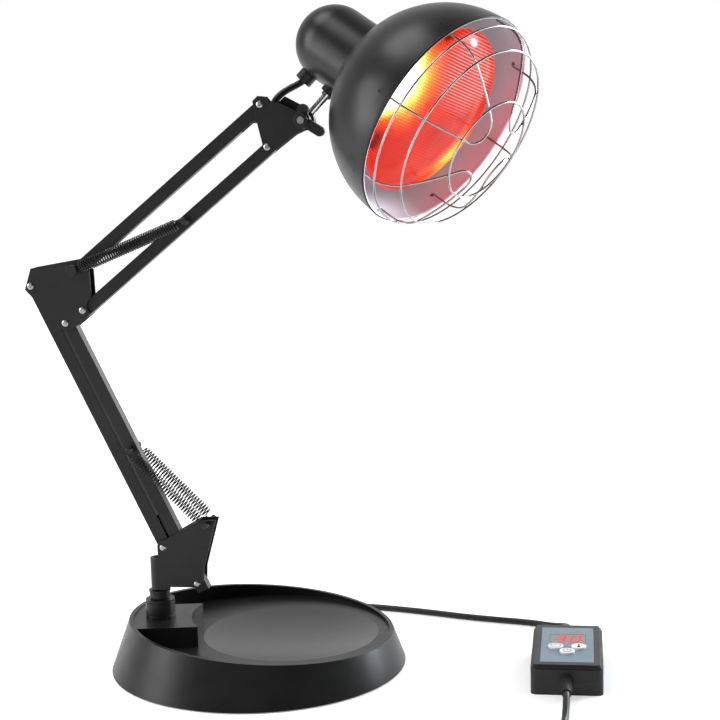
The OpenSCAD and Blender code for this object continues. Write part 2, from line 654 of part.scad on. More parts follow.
module lamp_shade() color("#28282a") lamp_frame() difference() {
    union() {
        difference() {
            translate([0, 0, shade_s]) sphere(r = shade_r, $fn = 200);
            translate([0, 0, shade_s]) sphere(r = shade_r - shade_wall, $fn = 200);
            translate([0, 0, shade_s]) cylinder(h = big, r = base_d);
        }
        translate([0, 0, shade_s - 1]) difference() {
            cylinder(h = rim_s - shade_s + 1, r = shade_r + rim_band, $fn = 200);
            translate([0, 0, -1]) cylinder(h = 10, r = shade_r - shade_wall - rim_band, $fn = 200);
        }
        translate([0, 0, rim_s]) rotate_extrude($fn = 128)
            translate([shade_r - shade_wall / 2, 0]) circle(d = 2, $fn = 24);
    }
    cylinder(h = shade_s - 10, r = neck_r);
    for (a = [22.5:45:359]) rotate([0, 0, a + guard_turn])
        translate([guard_skin, 0, rim_s - 9]) rotate([0, 90, 0]) cylinder(h = 20, d = guard_wire + 0.5);
}
module lamp_holder() color("#e6e2d6") lamp_frame() difference() {
    union() {
        translate([0, 0, holder_low]) cylinder(h = holder_high - holder_low, r = holder_r);
        translate([0, 0, holder_low - holder_foot]) cylinder(h = holder_foot + eps, r = 9);
        translate([0, 0, holder_flange]) cylinder(h = 3, r = cup_r - cup_wall - 0.1);
    }
    translate([0, 0, cap_low - cap_tip - 0.1]) cylinder(h = 40, r = cap_r + 0.4);
}
module lamp_cap() color("#c6c1b4") lamp_frame() {
    translate([0, 0, cap_low]) cylinder(h = cap_high - cap_low, r = cap_r);
    translate([0, 0, cap_low - cap_taper]) cylinder(h = cap_taper + eps, r1 = 5, r2 = cap_r - 1);
    translate([0, 0, cap_low - cap_tip]) cylinder(h = 2, r = 3.4);
}
// The bulb's outline from its neck to its front, as [radius, distance along the axis].
bulb_r = bulb_d / 2;
bulb_side = [[cap_r + 1.2, neck_low], [cap_r + 2, 33], [20, 42], [32, 56], [44, 70], [55, 83], [bulb_r - 1, bulb_s - 3],
    [bulb_r, bulb_s], [bulb_r - 1.5, bulb_s + 2.4], [bulb_r - 8, bulb_s + 4.4], [bulb_r - 26, bulb_s + 6.4],
    [0, bulb_s + 7.4]];
glass_t = 1.4;
bulb_core = [[0, 30], [cap_r, 31.5], [18.4, 43], [30.4, 57.4], [42.4, 71.4], [53.4, 84.4],
    [bulb_r - glass_t - 1.2, bulb_s - 2.6], [bulb_r - glass_t - 1, bulb_s + 0.6],
    [bulb_r - 8.4, bulb_s + 3], [bulb_r - 26, bulb_s + 5], [0, bulb_s + 6]];
module lamp_bulb() color("#e8402a") lamp_frame() difference() {
    rotate_extrude($fn = 128) polygon(concat([[0, neck_low]], bulb_side));
    rotate_extrude($fn = 128) polygon(bulb_core);
}

// The guard: three rings on eight ribs, paired by turns near the centre and hooked into the rim.
rib_r = 24;
rib_c = guard_skin - rib_r;
rib_base = 4;
crown_a = 60;
crown_r = 180;
crown_c = [rib_c + (rib_r - crown_r) * cos(crown_a), rib_base + (rib_r - crown_r) * sin(crown_a)];
turn_in = 30;
crown_end = acos((turn_in - crown_c[0]) / crown_r);
turn_z = crown_c[1] + crown_r * sin(crown_end);
hook_r = 2.2;
hook_low = -9;
slope = 90 - crown_end;
half_step = 22.5;
turn_tilt = atan2(sin(slope), cos(half_step) * cos(slope));
half_turn = atan2(sin(half_step) * cos(slope), norm([cos(half_step) * cos(slope), sin(slope)]));
apex_len = turn_in / cos(slope);
apex_z = turn_z + turn_in * tan(slope);
ring1_r = rib_c + sqrt(rib_r * rib_r - pow(guard_h1 - rib_base, 2));
// Height of a rib's centre line at radius r, beyond the straight part.
function rib_z(r) = r > rib_c + rib_r * cos(crown_a)
    ? rib_base + sqrt(rib_r * rib_r - pow(r - rib_c, 2))
    : crown_c[1] + sqrt(crown_r * crown_r - pow(r - crown_c[0], 2));
// A point at angle a on a circle about c.
function on_arc(c, r, a) = c + r * [cos(a), sin(a)];
function rib_line() = concat(
    [[shade_r - 0.1, hook_low]],
    [for (a = [270:-30:180]) on_arc([guard_skin + hook_r, hook_low + hook_r], hook_r, a)],
    [for (a = [0:7.5:crown_a - 1]) on_arc([rib_c, rib_base], rib_r, a)],
    [for (i = [0:5]) on_arc(crown_c, crown_r, crown_a + (crown_end - crown_a) * i / 5)]);
function about_z(p, a) = [p[0] * cos(a), p[0] * sin(a), p[1]];
// The turn that joins two ribs, in the tilted plane that holds both of their ends.
function turn_point(a) =
    let (x = apex_len * (1 / cos(half_turn) + tan(half_turn) * cos(a)))
    [x * cos(turn_tilt), apex_len * tan(half_turn) * sin(a), apex_z - x * sin(turn_tilt)];
turn_steps = 9;
function turn_line() = [for (i = [1:turn_steps - 1])
    turn_point(90 + half_turn + (180 - 2 * half_turn) * i / turn_steps)];
function rib_pair_line() = concat(
    [for (p = rib_line()) about_z(p, half_step)],
    turn_line(),
    [for (i = [len(rib_line()) - 1:-1:0]) about_z(rib_line()[i], -half_step)]);
// The rings lie on the ribs; each touches them with its outer or upper side.
weld = guard_wire + 0.02;
module guard_ring(r, lean) {
    translate([0, 0, rib_z(r) + weld * sin(lean)]) rotate_extrude($fn = 96)
        translate([r + weld * cos(lean), 0]) circle(d = guard_wire, $fn = 16);
}
function lean_at(r) = r > rib_c + rib_r * cos(crown_a) ? acos((r - rib_c) / rib_r)
    : acos((r - crown_c[0]) / crown_r);
module wire_guard() color("#c4c6c8") lamp_frame() translate([0, 0, rim_s]) rotate([0, 0, guard_turn]) {
    for (k = [0:3]) rotate([0, 0, 90 * k]) tube_along(rib_pair_line(), guard_wire, 8);
    for (r = [ring1_r, guard_r2, guard_r3]) guard_ring(r, lean_at(r));
}

// ================= cords =================
function world_rod(t, off) = w0 + polar(t, rod_a) - off * right_of(rod_a);
// The stretch from the gland to the upper tube, in the arm's plane but for the gland's end.
gland_p = world_rod(dome_t - cup_r - gland_len, dome_off * cos(head_swivel));
gland_y = dome_off * sin(head_swivel);
// How far the cord lies below the middle of the arm tubes, on their lower wall.
cord_lie = bar_w / 2 - bar_wall - cord_d / 2 - 0.3;
head_route = [
    [gland_p[0] + 2.5, gland_y, gland_p[1] + 2.6],
    [gland_p[0], gland_y, gland_p[1]],
    [q3[0] + 25, gland_y - 0.8, q3[1] + 11.8],
    [q3[0] + 20.6, 6.6, q3[1] + 9.4],
    [q3[0] + 15.6, 3.2, q3[1] + 8.6],
    [q3[0] + 11, 0.6, q3[1] + 5.8],
    [q3[0] + 8.4, 0, q3[1] + 0.2],
    [q3[0] + 6.1, 0, q3[1] - 7.2],
    [q3[0] - 0.4, 0, q3[1] - 10.6],
    [q3[0] - 6.6, 0, q3[1] - 11.2],
    on_bar(e3, upper_a, upper_len - slot1 + 7, bar_off + cord_lie),
    on_bar(e3, upper_a, upper_len - slot1 + 0.1, bar_off + cord_lie)];
module head_cord() color("#161618") in_arm() tube_along(head_route, cord_d, 8);
function on_bar(p, a, s, off) = let (v = p + polar(s, a) + off * right_of(a)) [v[0], 0, v[1]];
module cord_in_bar(p, a, length, lie) {
    tube_along([for (i = [0:3]) on_bar(p, a, slot1 + (length - 2 * slot1) * i / 3, bar_off + lie)], cord_d, 8);
}
module upper_arm_cord() color("#161618") in_arm() cord_in_bar(e3, upper_a, upper_len, cord_lie);
module lower_arm_cord() color("#161618") in_arm() cord_in_bar(p1, lower_a, lower_len, -cord_lie);

// From the post through the base, out behind it and round to the controller.
cord_r = cord_d / 2;
floor_c = cord_r + 0.05;
function turned(p) = [
    p[0] * cos(base_turn) - p[1] * sin(base_turn), p[0] * sin(base_turn) + p[1] * cos(base_turn), p[2]];
inside_route = [
    [-post_r, 0, 82], [-post_r, 0, 55], [-post_r, 0, 32], [-post_r, 0, 22.6], [-73.6, 1.9, 15.4],
    [-71.8, 7.1, 9.8], [-69.3, 14.2, 7.6], [-64.6, 26, 7.6], [-58, 38, 8], [-52.6, 49, 9],
    [-51.4, 60, 10], [-54.6, 70, 10], [-61.6, 78.8, 10], [-72, 92.2, 10], [-82.5, 105.6, 10]];
outside_route = [
    [-104.6, 97.6, 8], [-109.6, 106, 4.6], [-110.6, 116, floor_c], [-105.4, 127, floor_c],
    [-93, 134, floor_c], [-74, 136, floor_c], [-50, 138, floor_c], [-24, 140, floor_c],
    [4, 141, floor_c], [34, 140, floor_c], [64, 137, floor_c], [94, 131, floor_c],
    [122, 123, floor_c], [150, 114, floor_c], [178, 107, floor_c], [204, 101, floor_c],
    [222, 92, 3.4], [232, 80, 7], [235, 66, 10], [235, 50, 10], [235, 36, 10]];
supply_points = concat([for (p = inside_route) turned(p)], outside_route);
module supply_cord() color("#161618") tube_along(supply_points, cord_d, 8);

// From the controller to the stored coil and from the coil to the plug.
coil_x = 264;
coil_y = -212;
coil_low = cord_r + 0.9;
lane = cord_d + 0.6;
layer_turns = coil_turns / 2;
coil_out = coil_d / 2 + lane * (layer_turns - 1) / 2 + lane / 4;
coil_left = coil_x - coil_out;
lead_route = [
    [235, -56, 10], [235, -70, 10], [235, -84, 10], [234.8, -97, 6.6], [234.2, -111, floor_c],
    [233, -128, floor_c], [231.6, -146, floor_c], [230, -164, floor_c], [228.6, -182, 3],
    [coil_left, -196, coil_low], [coil_left, coil_y + cord_d, coil_low]];
plug_h = 16;
plug_z = plug_h / 2 + 0.05;
plug_y = -262;
tail_route = [
    [coil_left, coil_y - cord_d, coil_low + lane], [coil_left, -224, coil_low + lane],
    [coil_left + 1.4, -233, coil_low + lane],
    [coil_left + 6, -243, 8.8], [coil_left + 13.6, -252, 8.4], [coil_left + 25, -259.4, plug_z],
    [coil_left + 38, plug_y, plug_z], [coil_left + 54, plug_y, plug_z]];
// Turns spiral in on the floor, climb a layer in the half turn where they reverse, and spiral out.
function coil_point(turn) =
    let (way = layer_turns - abs(turn - layer_turns),
         rise = min(1, max(0, (turn - layer_turns + 0.25) * 2)),
         r = coil_out - lane * way)
    [coil_x - r * cos(360 * turn), coil_y - r * sin(360 * turn), coil_low + lane * rise];
coil_steps = 24;
coil_points = concat(
    [[coil_left, coil_y + cord_d, coil_low]],
    [for (i = [0:coil_steps * coil_turns]) coil_point(i / coil_steps)],
    [[coil_left, coil_y - cord_d, coil_low + lane]]);
echo(coil_gap = least_gap(coil_points, cord_d, 12));
module lead_cord() color("#161618") {
    tube_along(lead_route, cord_d, 8);
    tube_along(tail_route, cord_d, 8);
}
module cord_coil() color("#161618") tube_along(coil_points, cord_d, 6);
tie_t = 0.6;
tie_in = coil_out - lane * layer_turns - cord_r - 1;
tie_out = coil_out + cord_r + 0.4;
module coil_tie() color("#0e0e0f") translate([coil_x, coil_y, 0]) rotate([90, 0, 45]) translate([0, 0, -4])
    linear_extrude(8) difference() {
        translate([tie_in - tie_t, 0.1]) square([tie_out - tie_in + 2 * tie_t, lane + cord_d + 1.9]);
        translate([tie_in, 0.1 + tie_t]) square([tie_out - tie_in, lane + cord_d + 1.9 - 2 * tie_t]);
    }
plug_w = 24;
plug_x = coil_left + 70;
module on_plug() { translate([plug_x, plug_y, plug_z]) rotate([0, 90, 0]) children(); }
module plug_body() color("#161618") on_plug() difference() {
    union() {
        linear_extrude(26) soft_plan(plug_h, plug_w, 4);
        translate([0, 0, 26 - eps]) linear_extrude(4) soft_plan(plug_h - 3, plug_w - 3, 3);
        translate([0, 0, -relief_l]) cylinder(h = relief_l + eps, d1 = cord_d + 2, d2 = cord_d + 6);
    }
    translate([0, 0, -relief_l - 1]) cylinder(h = relief_l, d = cord_d + 0.3);
    for (y = [-6.35, 6.35]) translate([-0.8, y - 3.2, 20]) cube([1.6, 6.4, 12]);
}
module plug_pins() color("#c8a860") on_plug() for (y = [-6.35, 6.35])
    translate([-0.75, y - 3.15, 20.1]) cube([1.5, 6.3, 27]);

// ================= controller =================
module on_ctrl() { translate([ctrl_x, ctrl_y, 0]) children(); }
module at_pillars() { for (x = [-1, 1], y = [-1, 1]) translate([x * pillar_x, y * pillar_y, 0]) children(); }
port_z = 10;
port_d = 8;
module at_ports() {
    for (side = [-1, 1]) translate([0, side * ctrl_l / 2, port_z]) rotate([-side * 90, 0, 0]) children();
}
module cord_ports() { at_ports() translate([0, 0, -ctrl_wall - 1]) cylinder(h = ctrl_wall + 2, d = port_d + fit_clear); }
module controller_base() color("#1a1a1c") on_ctrl() difference() {
    linear_extrude(split_z) soft_plan(ctrl_w, ctrl_l, ctrl_r);
    difference() {
        translate([0, 0, ctrl_wall]) linear_extrude(ctrl_h)
            soft_plan(ctrl_w - 2 * ctrl_wall, ctrl_l - 2 * ctrl_wall, ctrl_r - ctrl_wall);
        at_pillars() cylinder(h = split_z, d = 5.4);
        for (x = [-1, 1], y = [-1, 1]) translate([x * 17, y * 22, 0]) cylinder(h = board_z, d = 4);
    }
    at_pillars() {
        translate([0, 0, -1]) cylinder(h = big, d = 2.4 + fit_clear);
        translate([0, 0, -1]) cylinder(h = 2.6, d = 4.6);
    }
    cord_ports();
}
module controller_cover() color("#1a1a1c") on_ctrl() difference() {
    union() {
        translate([0, 0, split_z]) linear_extrude(ctrl_h - split_z - 3) soft_plan(ctrl_w, ctrl_l, ctrl_r);
        translate([0, 0, split_z]) linear_extrude(ctrl_h - split_z - 1.4)
            soft_plan(ctrl_w - step_in, ctrl_l - step_in, ctrl_r - step_in / 2);
        translate([0, 0, split_z]) linear_extrude(ctrl_h - split_z)
            soft_plan(ctrl_w - 2 * step_in, ctrl_l - 2 * step_in, ctrl_r - step_in);
    }
    difference() {
        translate([0, 0, split_z - 1]) linear_extrude(ctrl_h - split_z + 1 - ctrl_wall - panel_t)
            soft_plan(ctrl_w - 2 * ctrl_wall, ctrl_l - 2 * ctrl_wall, ctrl_r - ctrl_wall);
        at_pillars() cylinder(h = ctrl_h, d = 5.4);
    }
    at_pillars() translate([0, 0, split_z - 1]) cylinder(h = 7, d = 2.4 + fit_clear);
    translate([0, 0, ctrl_h - panel_t]) linear_extrude(2) square([panel_w + 0.2, panel_l + 0.2], center = true);
    translate([0, window_y, split_z]) linear_extrude(ctrl_h) square([window_w + 0.3, window_l + 0.3], center = true);
    for (b = buttons) translate([b[0], b[1], split_z]) cylinder(h = ctrl_h, d = button_d + 0.5);
    cord_ports();
}
module control_panel() color("#75838f") on_ctrl() translate([0, 0, ctrl_h - panel_t]) linear_extrude(panel_t) difference() {
    square([panel_w, panel_l], center = true);
    translate([0, window_y]) square([window_w + 0.3, window_l + 0.3], center = true);
    for (b = buttons) translate([b[0], b[1]]) circle(d = button_d + 0.5);
}
module display_module() color("#0c0c0d") on_ctrl() translate([0, window_y, board_z + board_t]) linear_extrude(ctrl_h - board_z - board_t - 0.1)
    square([window_w, window_l], center = true);
button_low = board_z + board_t + switch_h + button_travel + 0.1;
module circuit_board() color("#1f6b3a") on_ctrl() {
    difference() {
        translate([0, 0, board_z]) linear_extrude(board_t) square([board_w, board_l], center = true);
        for (y = [-1, 1]) translate([0, y * 40, board_z]) cube([port_d + 5, 12, 10], center = true);
    }
    for (b = buttons) translate([b[0], b[1], board_z + board_t - eps]) {
        translate([-3, -3, 0]) cube([6, 6, switch_h - 1]);
        cylinder(h = switch_h, d = 3);
    }
    translate([-14, -36, board_z + board_t - eps]) cube([10, 13, 7]);
    translate([6, -36, board_z + board_t - eps]) cube([9, 9, 6]);
    translate([-15, 27, board_z + board_t - eps]) cube([8, 8, 6]);
}
module button(b) {
    on_ctrl() translate([b[0], b[1], 0]) {
        translate([0, 0, button_low]) cylinder(h = ctrl_h + button_rise - button_low, d = button_d);
        translate([0, 0, ctrl_h - panel_t - ctrl_wall - button_flange - 0.1])
            cylinder(h = button_flange, d = button_d + 1.8);
    }
}
module button_time() color("#f2f2f0") button(buttons[0]);
module button_temp() color("#f2f2f0") button(buttons[1]);
module button_power() color("#f2f2f0") button(buttons[2]);
module controller_grommets() color("#161618") on_ctrl() at_ports() cord_relief(port_d, ctrl_wall + 0.1, 0.1);
module controller_screws() color("#9a9c9f") on_ctrl() at_pillars() {
    translate([0, 0, 0.2]) cylinder(h = 1.3, d = 4.2);
    translate([0, 0, 0.4]) cylinder(h = split_z + 4, d = 2.4);
}

base_shell();
ballast_plate();
bottom_cover();
rubber_feet();
cover_screws();
post_socket();
socket_nut();
base_grommet();
supply_cord();
lead_cord();
cord_coil();
coil_tie();
plug_body();
plug_pins();
post_tube();
stop_collar();
lower_bracket();
lower_rivets();
lower_anchor_pins();
lower_bar_rear();
lower_bar_front();
lower_cross_pin();
lower_arm_cord();
lower_spring_front();
lower_spring_rear();
elbow_plate_front();
elbow_plate_rear();
elbow_rivets();
elbow_anchor_pin();
upper_bar_top();
upper_bar_bottom();
upper_cross_pin();
upper_arm_cord();
upper_spring_front();
upper_spring_rear();
head_plate_front();
head_plate_rear();
head_rivets();
tilt_bolt();
wing_nut();
swivel_barrel();
head_rod();
head_cord();
lamp_cup();
cable_gland();
lamp_shade();
lamp_holder();
lamp_cap();
lamp_bulb();
wire_guard();
controller_base();
controller_cover();
control_panel();
display_module();
circuit_board();
button_time();
button_temp();
button_power();
controller_screws();
controller_grommets();
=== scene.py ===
"""Dresses an infrared heat lamp: weighted base, sprung swing arm, bowl shade with a lit red
reflector bulb behind a wire guard, mains cord, hand controller, stored coil and plug.
Sizes of pieces are in millimetres, scaled by MM; materials, floor and lights are in metres."""
import math

import bmesh
import bpy
from mathutils import Matrix, Vector


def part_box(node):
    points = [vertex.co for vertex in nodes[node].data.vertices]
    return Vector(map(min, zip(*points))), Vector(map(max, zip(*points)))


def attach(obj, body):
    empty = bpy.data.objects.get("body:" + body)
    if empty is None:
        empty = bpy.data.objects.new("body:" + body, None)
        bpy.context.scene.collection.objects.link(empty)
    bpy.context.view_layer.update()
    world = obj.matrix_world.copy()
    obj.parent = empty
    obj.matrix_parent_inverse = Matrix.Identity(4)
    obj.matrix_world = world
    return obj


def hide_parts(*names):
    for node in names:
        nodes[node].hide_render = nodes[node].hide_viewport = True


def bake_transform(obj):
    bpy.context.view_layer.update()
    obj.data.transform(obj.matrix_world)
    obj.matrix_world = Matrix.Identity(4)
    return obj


MM = 0.001

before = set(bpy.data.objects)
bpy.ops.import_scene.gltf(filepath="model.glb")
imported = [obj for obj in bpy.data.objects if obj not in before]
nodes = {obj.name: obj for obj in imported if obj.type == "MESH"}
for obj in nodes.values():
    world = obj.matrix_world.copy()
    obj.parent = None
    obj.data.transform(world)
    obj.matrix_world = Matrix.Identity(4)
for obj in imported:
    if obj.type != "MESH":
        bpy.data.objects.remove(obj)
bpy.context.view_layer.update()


# ======================= camera =======================
LOOK_AT = Vector((83.5, 0, 234.2)) * MM
CAMERA_FROM = 1186.1 * MM
CAMERA_AZIMUTH = math.radians(8.0)
CAMERA_ELEVATION = math.radians(8.39)
CAMERA_ROLL = math.radians(-1.38)
PHOTO_SIDE = 720
FOCAL_PIXELS = 1600


def make_camera():
    back = Vector((
        math.sin(CAMERA_AZIMUTH) * math.cos(CAMERA_ELEVATION),
        -math.cos(CAMERA_AZIMUTH) * math.cos(CAMERA_ELEVATION),
        math.sin(CAMERA_ELEVATION),
    ))
    right = Vector((0, 0, 1)).cross(back).normalized()
    up = back.cross(right)
    turn = Matrix.Rotation(CAMERA_ROLL, 3, back)
    right, up = turn @ right, turn @ up
    data = bpy.data.cameras.new("camera")
    data.angle = 2 * math.atan(PHOTO_SIDE / 2 / FOCAL_PIXELS)
    data.clip_start = 0.01
    camera = bpy.data.objects.new("camera", data)
    bpy.context.scene.collection.objects.link(camera)
    axes = Matrix((right, up, back)).transposed().to_4x4()
    camera.matrix_world = Matrix.Translation(LOOK_AT + back * CAMERA_FROM) @ axes
    bpy.context.scene.camera = camera


make_camera()


# ======================= places =======================
def middle(node):
    low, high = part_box(node)
    return (Vector(low) + Vector(high)) / 2


ARM_Y = middle("elbow_anchor_pin").y
BRACKET_PIN = middle("lower_anchor_pins")
LOWER_BAR_PIN = middle("lower_cross_pin")
ELBOW_PIN = middle("elbow_anchor_pin")
UPPER_BAR_PIN = middle("upper_cross_pin")

# The lamp's own frame: +Z out of the shade, origin at the centre of the cup's dome. The shade is
# a half sphere of SHADE_R about SHADE_S, and its rim is at RIM_S.
TILT_AXIS = Vector((49.31, -12.39, 410.88))
ROD_ANGLE = 46
HEAD_SWIVEL = 25.8
HEAD_LEAN = 8.7
DOME_ALONG = 53.6
DOME_OFF = 23.5
RIM_S = 111
SHADE_S = RIM_S - 1.4
SHADE_R = 79.6
SHADE_WALL = 1
BULB_R = 63
BULB_S = 97


def rotation(axis, degrees):
    return Matrix.Rotation(math.radians(degrees), 4, axis)


LAMP = (
    Matrix.Scale(MM, 4)
    @ Matrix.Translation(TILT_AXIS)
    @ rotation("Y", -ROD_ANGLE)
    @ rotation("X", -HEAD_SWIVEL)
    @ Matrix.Translation((DOME_ALONG, 0, DOME_OFF))
    @ rotation("Y", 180 - HEAD_LEAN)
)
LAMP_AXES = [LAMP.to_3x3().col[k].normalized() for k in range(3)]


# ======================= building pieces =======================
def full_turn(count):
    """Equal angles round a circle."""
    return [math.tau * k / count for k in range(count)]


def steps(start, end, count):
    return [start + (end - start) * k / count for k in range(count + 1)]


def on_arc(centre, radius, degrees):
    a = math.radians(degrees)
    return (centre[0] + radius * math.cos(a), centre[1] + radius * math.sin(a))


def link(name, mesh_or_curve):
    obj = bpy.data.objects.new(name, mesh_or_curve)
    bpy.context.scene.collection.objects.link(obj)
    return obj


def mesh_piece(name, build, material, smooth=True):
    bm = bmesh.new()
    build(bm)
    bmesh.ops.recalc_face_normals(bm, faces=bm.faces)
    for face in bm.faces:
        face.smooth = smooth
    mesh = bpy.data.meshes.new(name)
    bm.to_mesh(mesh)
    bm.free()
    if smooth:
        mesh.set_sharp_from_angle(angle=math.radians(40))
    mesh.materials.append(material)
    return link(name, mesh)


def tube(bm, points, radius, sides, closed=False):
    """A round tube along points, whose section is carried along without twisting."""
    last = len(points) - 1
    tangents = [(points[(i + 1) % len(points) if closed else min(i + 1, last)]
                 - points[i - 1 if closed else max(i - 1, 0)]).normalized() for i in range(len(points))]
    normal = tangents[0].orthogonal().normalized()
    rings = []
    for point, tangent in zip(points, tangents):
        normal = (normal - tangent * normal.dot(tangent)).normalized()
        side = tangent.cross(normal)
        rings.append([bm.verts.new(point + radius * (math.cos(a) * normal + math.sin(a) * side))
                      for a in full_turn(sides)])
    for low, high in zip(rings, rings[1:] + rings[:1] if closed else rings[1:]):
        for k in range(sides):
            n = (k + 1) % sides
            bm.faces.new((low[k], low[n], high[n], high[k]))
    if not closed:
        bm.faces.new(reversed(rings[0]))
        bm.faces.new(rings[-1])


def lathe(bm, outline, sides):
    """Turns an open outline of (radius, height) about Z; a radius of 0 closes to a point."""
    rings = []
    for radius, height in outline:
        if radius == 0:
            rings.append([bm.verts.new((0, 0, height))])
        else:
            rings.append([bm.verts.new((radius * math.cos(a), radius * math.sin(a), height))
                          for a in full_turn(sides)])
    for low, high in zip(rings, rings[1:]):
        for k in range(sides):
            n = (k + 1) % sides
            corners = [low[k % len(low)], low[n % len(low)], high[n % len(high)], high[k % len(high)]]
            unique = list(dict.fromkeys(corners))
            if len(unique) > 2:
                bm.faces.new(unique)


def plate(bm, outline, low, high):
    """A flat plate: an outline of (x, y) between two heights."""
    bottom = [bm.verts.new((x, y, low)) for x, y in outline]
    top = [bm.verts.new((x, y, high)) for x, y in outline]
    bm.faces.new(list(reversed(bottom)))
    bm.faces.new(top)
    for k in range(len(outline)):
        n = (k + 1) % len(outline)
        bm.faces.new((bottom[k], bottom[n], top[n], top[k]))


def smooth_route(points, parts):
    """More points on one smooth curve through the given ones."""
    out = []
    last = len(points) - 1
    for i in range(last):
        a, b = points[max(i - 1, 0)], points[i]
        c, d = points[i + 1], points[min(i + 2, last)]
        for j in range(parts):
            t = j / parts
            out.append(0.5 * (2 * b + (c - a) * t + (2 * a - 5 * b + 4 * c - d) * t * t
                              + (3 * b - a - 3 * c + d) * t * t * t))
    return out + [points[-1]]


# ======================= materials =======================
class Nodes:
    """A node tree of a material or the world, with short calls for the nodes used here."""

    def __init__(self, owner):
        owner.use_nodes = True
        self.tree = owner.node_tree

    def node(self, kind, **settings):
        made = self.tree.nodes.new(kind)
        for key, value in settings.items():
            setattr(made, key, value)
        return made

    def join(self, source, target):
        self.tree.links.new(source, target)

    def place(self, scale=(1, 1, 1)):
        where = self.node("ShaderNodeTexCoord").outputs["Object"]
        mapping = self.node("ShaderNodeMapping")
        mapping.inputs["Scale"].default_value = scale
        self.join(where, mapping.inputs["Vector"])
        return mapping.outputs["Vector"]

    def noise(self, scale, detail=3, vector=None):
        made = self.node("ShaderNodeTexNoise")
        made.inputs["Scale"].default_value = scale
        made.inputs["Detail"].default_value = detail
        self.join(vector or self.place(), made.inputs["Vector"])
        return made.outputs["Fac"]

    def ramp(self, factor, stops):
        made = self.node("ShaderNodeValToRGB")
        elements = made.color_ramp.elements
        while len(elements) < len(stops):
            elements.new(0.5)
        for element, (position, colour) in zip(elements, stops):
            element.position = position
            element.color = (*colour, 1)
        self.join(factor, made.inputs["Fac"])
        return made.outputs["Color"]

    def shades(self, factor, dark, light):
        return self.ramp(factor, [(0.3, dark), (0.7, light)])

    def spread(self, factor, low, high, start=0.3, end=0.7):
        made = self.node("ShaderNodeMapRange")
        made.inputs["From Min"].default_value = start
        made.inputs["From Max"].default_value = end
        made.inputs["To Min"].default_value = low
        made.inputs["To Max"].default_value = high
        self.join(factor, made.inputs["Value"])
        return made.outputs["Result"]

    def math(self, operation, a, b=None):
        made = self.node("ShaderNodeMath", operation=operation)
        for socket, value in zip(made.inputs, (a, b)):
            if isinstance(value, (int, float)):
                socket.default_value = value
            elif value is not None:
                self.join(value, socket)
        return made.outputs["Value"]

    def plus(self, a, b):
        return self.math("ADD", a, b)

    def times(self, a, b):
        return self.math("MULTIPLY", a, b)

    def lamp_place(self):
        """The place in the lamp's own frame, in millimetres: down, right and out of the shade."""
        away = self.node("ShaderNodeVectorMath", operation="SUBTRACT")
        self.join(self.node("ShaderNodeTexCoord").outputs["Object"], away.inputs[0])
        away.inputs[1].default_value = LAMP.translation
        out = []
        for axis in LAMP_AXES:
            along = self.node("ShaderNodeVectorMath", operation="DOT_PRODUCT")
            self.join(away.outputs["Vector"], along.inputs[0])
            along.inputs[1].default_value = axis / MM
            out.append(along.outputs["Value"])
        return out

    def spot(self, where, centre, reach):
        """1 at a place of the lamp's frame, falling to 0 where the scaled distance is 1."""
        parts = [self.math("POWER", self.times(self.math("SUBTRACT", w, c), 1 / r), 2)
                 for w, c, r in zip(where, centre, reach)]
        total = parts[0]
        for part in parts[1:]:
            total = self.plus(total, part)
        return self.spread(self.math("SQRT", total), 1, 0, 0, 1)

    def mix(self, factor, a, b):
        """Colour a where the factor is 0 and b where it is 1; each a socket or a colour."""
        made = self.node("ShaderNodeMix", data_type="RGBA")
        self.join(factor, made.inputs["Factor"])
        for name, value in (("A", a), ("B", b)):
            socket = next(i for i in made.inputs if i.name == name and i.type == "RGBA")
            if isinstance(value, tuple):
                socket.default_value = (*value, 1)
            else:
                self.join(value, socket)
        return next(o for o in made.outputs if o.type == "RGBA")

    def light_path(self, *kinds):
        """1 for rays of the named kinds and 0 for the others."""
        rays = self.node("ShaderNodeLightPath").outputs
        total = rays[kinds[0]]
        for kind in kinds[1:]:
            total = self.math("MAXIMUM", total, rays[kind])
        return total


class Surface(Nodes):
    """A material of its own, with its Principled shader."""

    def __init__(self, name, **values):
        self.material = bpy.data.materials.new(name)
        super().__init__(self.material)
        self.shader = self.tree.nodes["Principled BSDF"]
        for socket, value in values.items():
            self.shader.inputs[socket.replace("_", " ")].default_value = value

    def feed(self, socket, source):
        self.join(source, self.shader.inputs[socket])

    def bump(self, height, strength, distance, normal=None):
        made = self.node("ShaderNodeBump")
        made.inputs["Strength"].default_value = strength
        made.inputs["Distance"].default_value = distance
        self.join(height, made.inputs["Height"])
        if normal is not None:
            self.join(normal, made.inputs["Normal"])
        self.feed("Normal", made.outputs["Normal"])

    def edges(self, radius):
        made = self.node("ShaderNodeBevel", samples=4)
        made.inputs["Radius"].default_value = radius
        return made.outputs["Normal"]


def grained(name, dark, light, rough, grain, depth, edge=0.0004, uneven=0.03, **values):
    """Moulded or coated surface: two near shades, uneven gloss, a fine grain and soft edges."""
    m = Surface(name, **values)
    cloud = m.noise(35, 4)
    m.feed("Base Color", m.ramp(cloud, [(0.35, dark), (0.7, light)]))
    m.feed("Roughness", m.spread(m.noise(90, 5), rough - uneven, rough + uneven))
    m.bump(m.noise(grain, 2), 0.35, depth, m.edges(edge))
    return m.material


def grey(value, tint=0.0):
    return (value, value * (1 + tint / 2), value * (1 + tint))


def black(name, dark, light, rough, grain, depth, sheen=0.28, **values):
    """Black plastic, paint or rubber; a lower sheen than plastic's own keeps it deep."""
    return grained(name, grey(dark), grey(light), rough, grain, depth, Specular_IOR_Level=sheen, **values)


